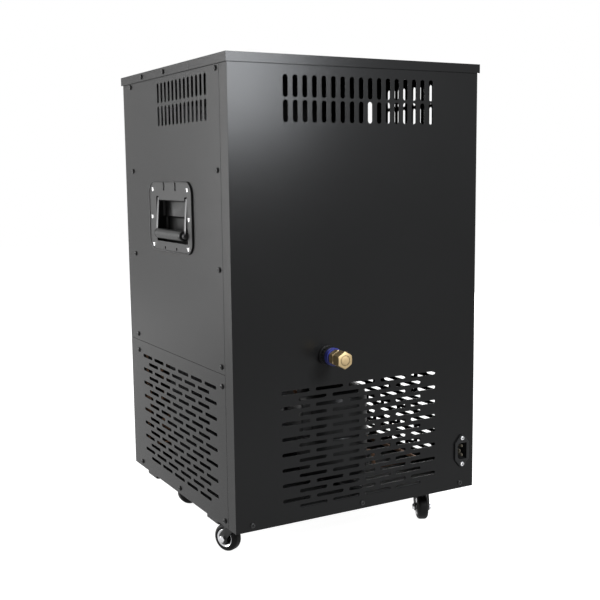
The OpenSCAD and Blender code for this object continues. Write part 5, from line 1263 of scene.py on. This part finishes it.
wiringBox = {"seam": (-8.4, -8.0), "soft": 1.6, "inset": 1.2, "core": (-10, -6), "screwAt": 7,
             "screw": (2.6, -1, -0.05)}
lo, hi = nodeBox("control_box")
shape = Shape().block(lo, (hi.x, hi.y, hi.z + wiringBox["seam"][0]), None, wiringBox["soft"], 3)
shape.block((lo.x, lo.y, hi.z + wiringBox["seam"][1]), hi, None, wiringBox["soft"], 3)
inset, at = wiringBox["inset"], wiringBox["screwAt"]
shape.block((lo.x + inset, lo.y + inset, hi.z + wiringBox["core"][0]),
            (hi.x - inset, hi.y - inset, hi.z + wiringBox["core"][1]))
for x in (lo.x + at, hi.x - at):
    for y in (lo.y + at, hi.y - at):
        shape.lathe(rodProfile(*wiringBox["screw"]), Matrix.Translation((x, y, hi.z)), 20)
finishPiece("controlBox", shape, "cabinet", "dark_plastic", "control_box")
print("tank made")


camera = {"place": (0.72729, 1.30010, 0.54214), "azimuth": 150.842, "pitch": 7.613,
          "roll": -0.6427, "lens": 58.21, "sensor": 36.0}
data = bpy.data.cameras.new("photoCamera")
data.lens, data.sensor_width = camera["lens"], camera["sensor"]
cam = linked("photoCamera", data)
azimuth, pitch, roll = (math.radians(camera[key]) for key in ("azimuth", "pitch", "roll"))
backWay = Vector((math.sin(azimuth) * math.cos(pitch), -math.cos(azimuth) * math.cos(pitch),
                  math.sin(pitch)))
right = (-backWay).cross(up).normalized()
upWay = right.cross(-backWay)
x = right * math.cos(roll) + upWay * math.sin(roll)
y = -right * math.sin(roll) + upWay * math.cos(roll)
turn = Matrix((x, y, backWay)).transposed().to_4x4()
cam.matrix_world = Matrix.Translation(camera["place"]) @ turn
bpy.context.scene.camera = cam

studio = {"ambient": 0.2, "floorLight": 0.95, "floorAlbedo": 0.4, "floorRough": 0.9,
          "floorSize": 6.0}
# seen is 1 for camera, glossy and transmission rays
seenRows = [("path", "ShaderNodeLightPath"),
            ("first", "ShaderNodeMath", {"operation": "MAXIMUM"}),
            ("seen", "ShaderNodeMath", {"operation": "MAXIMUM"})]
seenPlan = ("path.Is Camera Ray > first.0; path.Is Glossy Ray > first.1; first.0 > seen.0; "
            "path.Is Transmission Ray > seen.1; ")
world = bpy.data.worlds.new("studio")
bpy.context.scene.world = world
world.use_nodes = True
world.node_tree.nodes.clear()
addNodes(world.node_tree, seenRows + [
    ("out", "ShaderNodeOutputWorld"), ("mix", "ShaderNodeMixShader"),
    ("dim", "ShaderNodeBackground", {}, {"Color": rgb(1), "Strength": studio["ambient"]}),
    ("white", "ShaderNodeBackground", {}, {"Color": rgb(1), "Strength": 1.0})],
    seenPlan + "seen.0 > mix.0; dim.0 > mix.1; white.0 > mix.2; mix.0 > out.Surface")

grid = bmesh.new()
bmesh.ops.create_grid(grid, x_segments=1, y_segments=1, size=studio["floorSize"])
floor = linked("studioFloor", toMesh("studioFloor", grid))
floorPaint = bpy.data.materials.new("floorPaint")
floorPaint.use_nodes = True
shader = floorPaint.node_tree.nodes["Principled BSDF"]
for key, value in (("Base Color", rgb(studio["floorAlbedo"])), ("Emission Color", rgb(1)),
                   ("Roughness", studio["floorRough"]), ("Specular IOR Level", 0.0)):
    shader.inputs[key].default_value = value
addNodes(floorPaint.node_tree, seenRows + [
    ("glow", "ShaderNodeMath", {"operation": "MULTIPLY"}, {1: studio["floorLight"]})],
    seenPlan + "seen.0 > glow.0; glow.0 > Principled BSDF.Emission Strength")
floor.data.materials.append(floorPaint)

lamps = [  # name, place, aimed at, size, watts, colour
    ("sideLamp", (2.15, -1.75, 0.7), (0.2, 0.05, 0.35), 1.6, 82.0, (1.0, 1.0, 1.0)),
    ("cornerLamp", (-0.17, 1.1, 0.83), (0.2, 0.17, 0.65), 0.38, 23.5, (0.93, 0.96, 1.0)),
    ("topLamp", (0.0, 0.2, 2.6), (0.0, 0.0, 0.4), 2.0, 4.0, (1.0, 1.0, 1.0)),
    ("frontLamp", (-1.2, -2.0, 1.4), (0.0, 0.0, 0.35), 1.6, 20.0, (1.0, 1.0, 1.0)),
    ("leftLamp", (-2.15, -1.75, 0.7), (-0.2, 0.05, 0.35), 1.6, 28.0, (1.0, 1.0, 1.0)),
]
for name, place, target, size, watts, colour in lamps:
    data = bpy.data.lights.new(name, "AREA")
    data.shape, data.size, data.energy, data.color = "SQUARE", size, watts, colour
    linked(name, data).matrix_world = aim(place, Vector(place) - Vector(target))
bpy.context.scene.view_settings.view_transform = "Standard"
print("studio set")
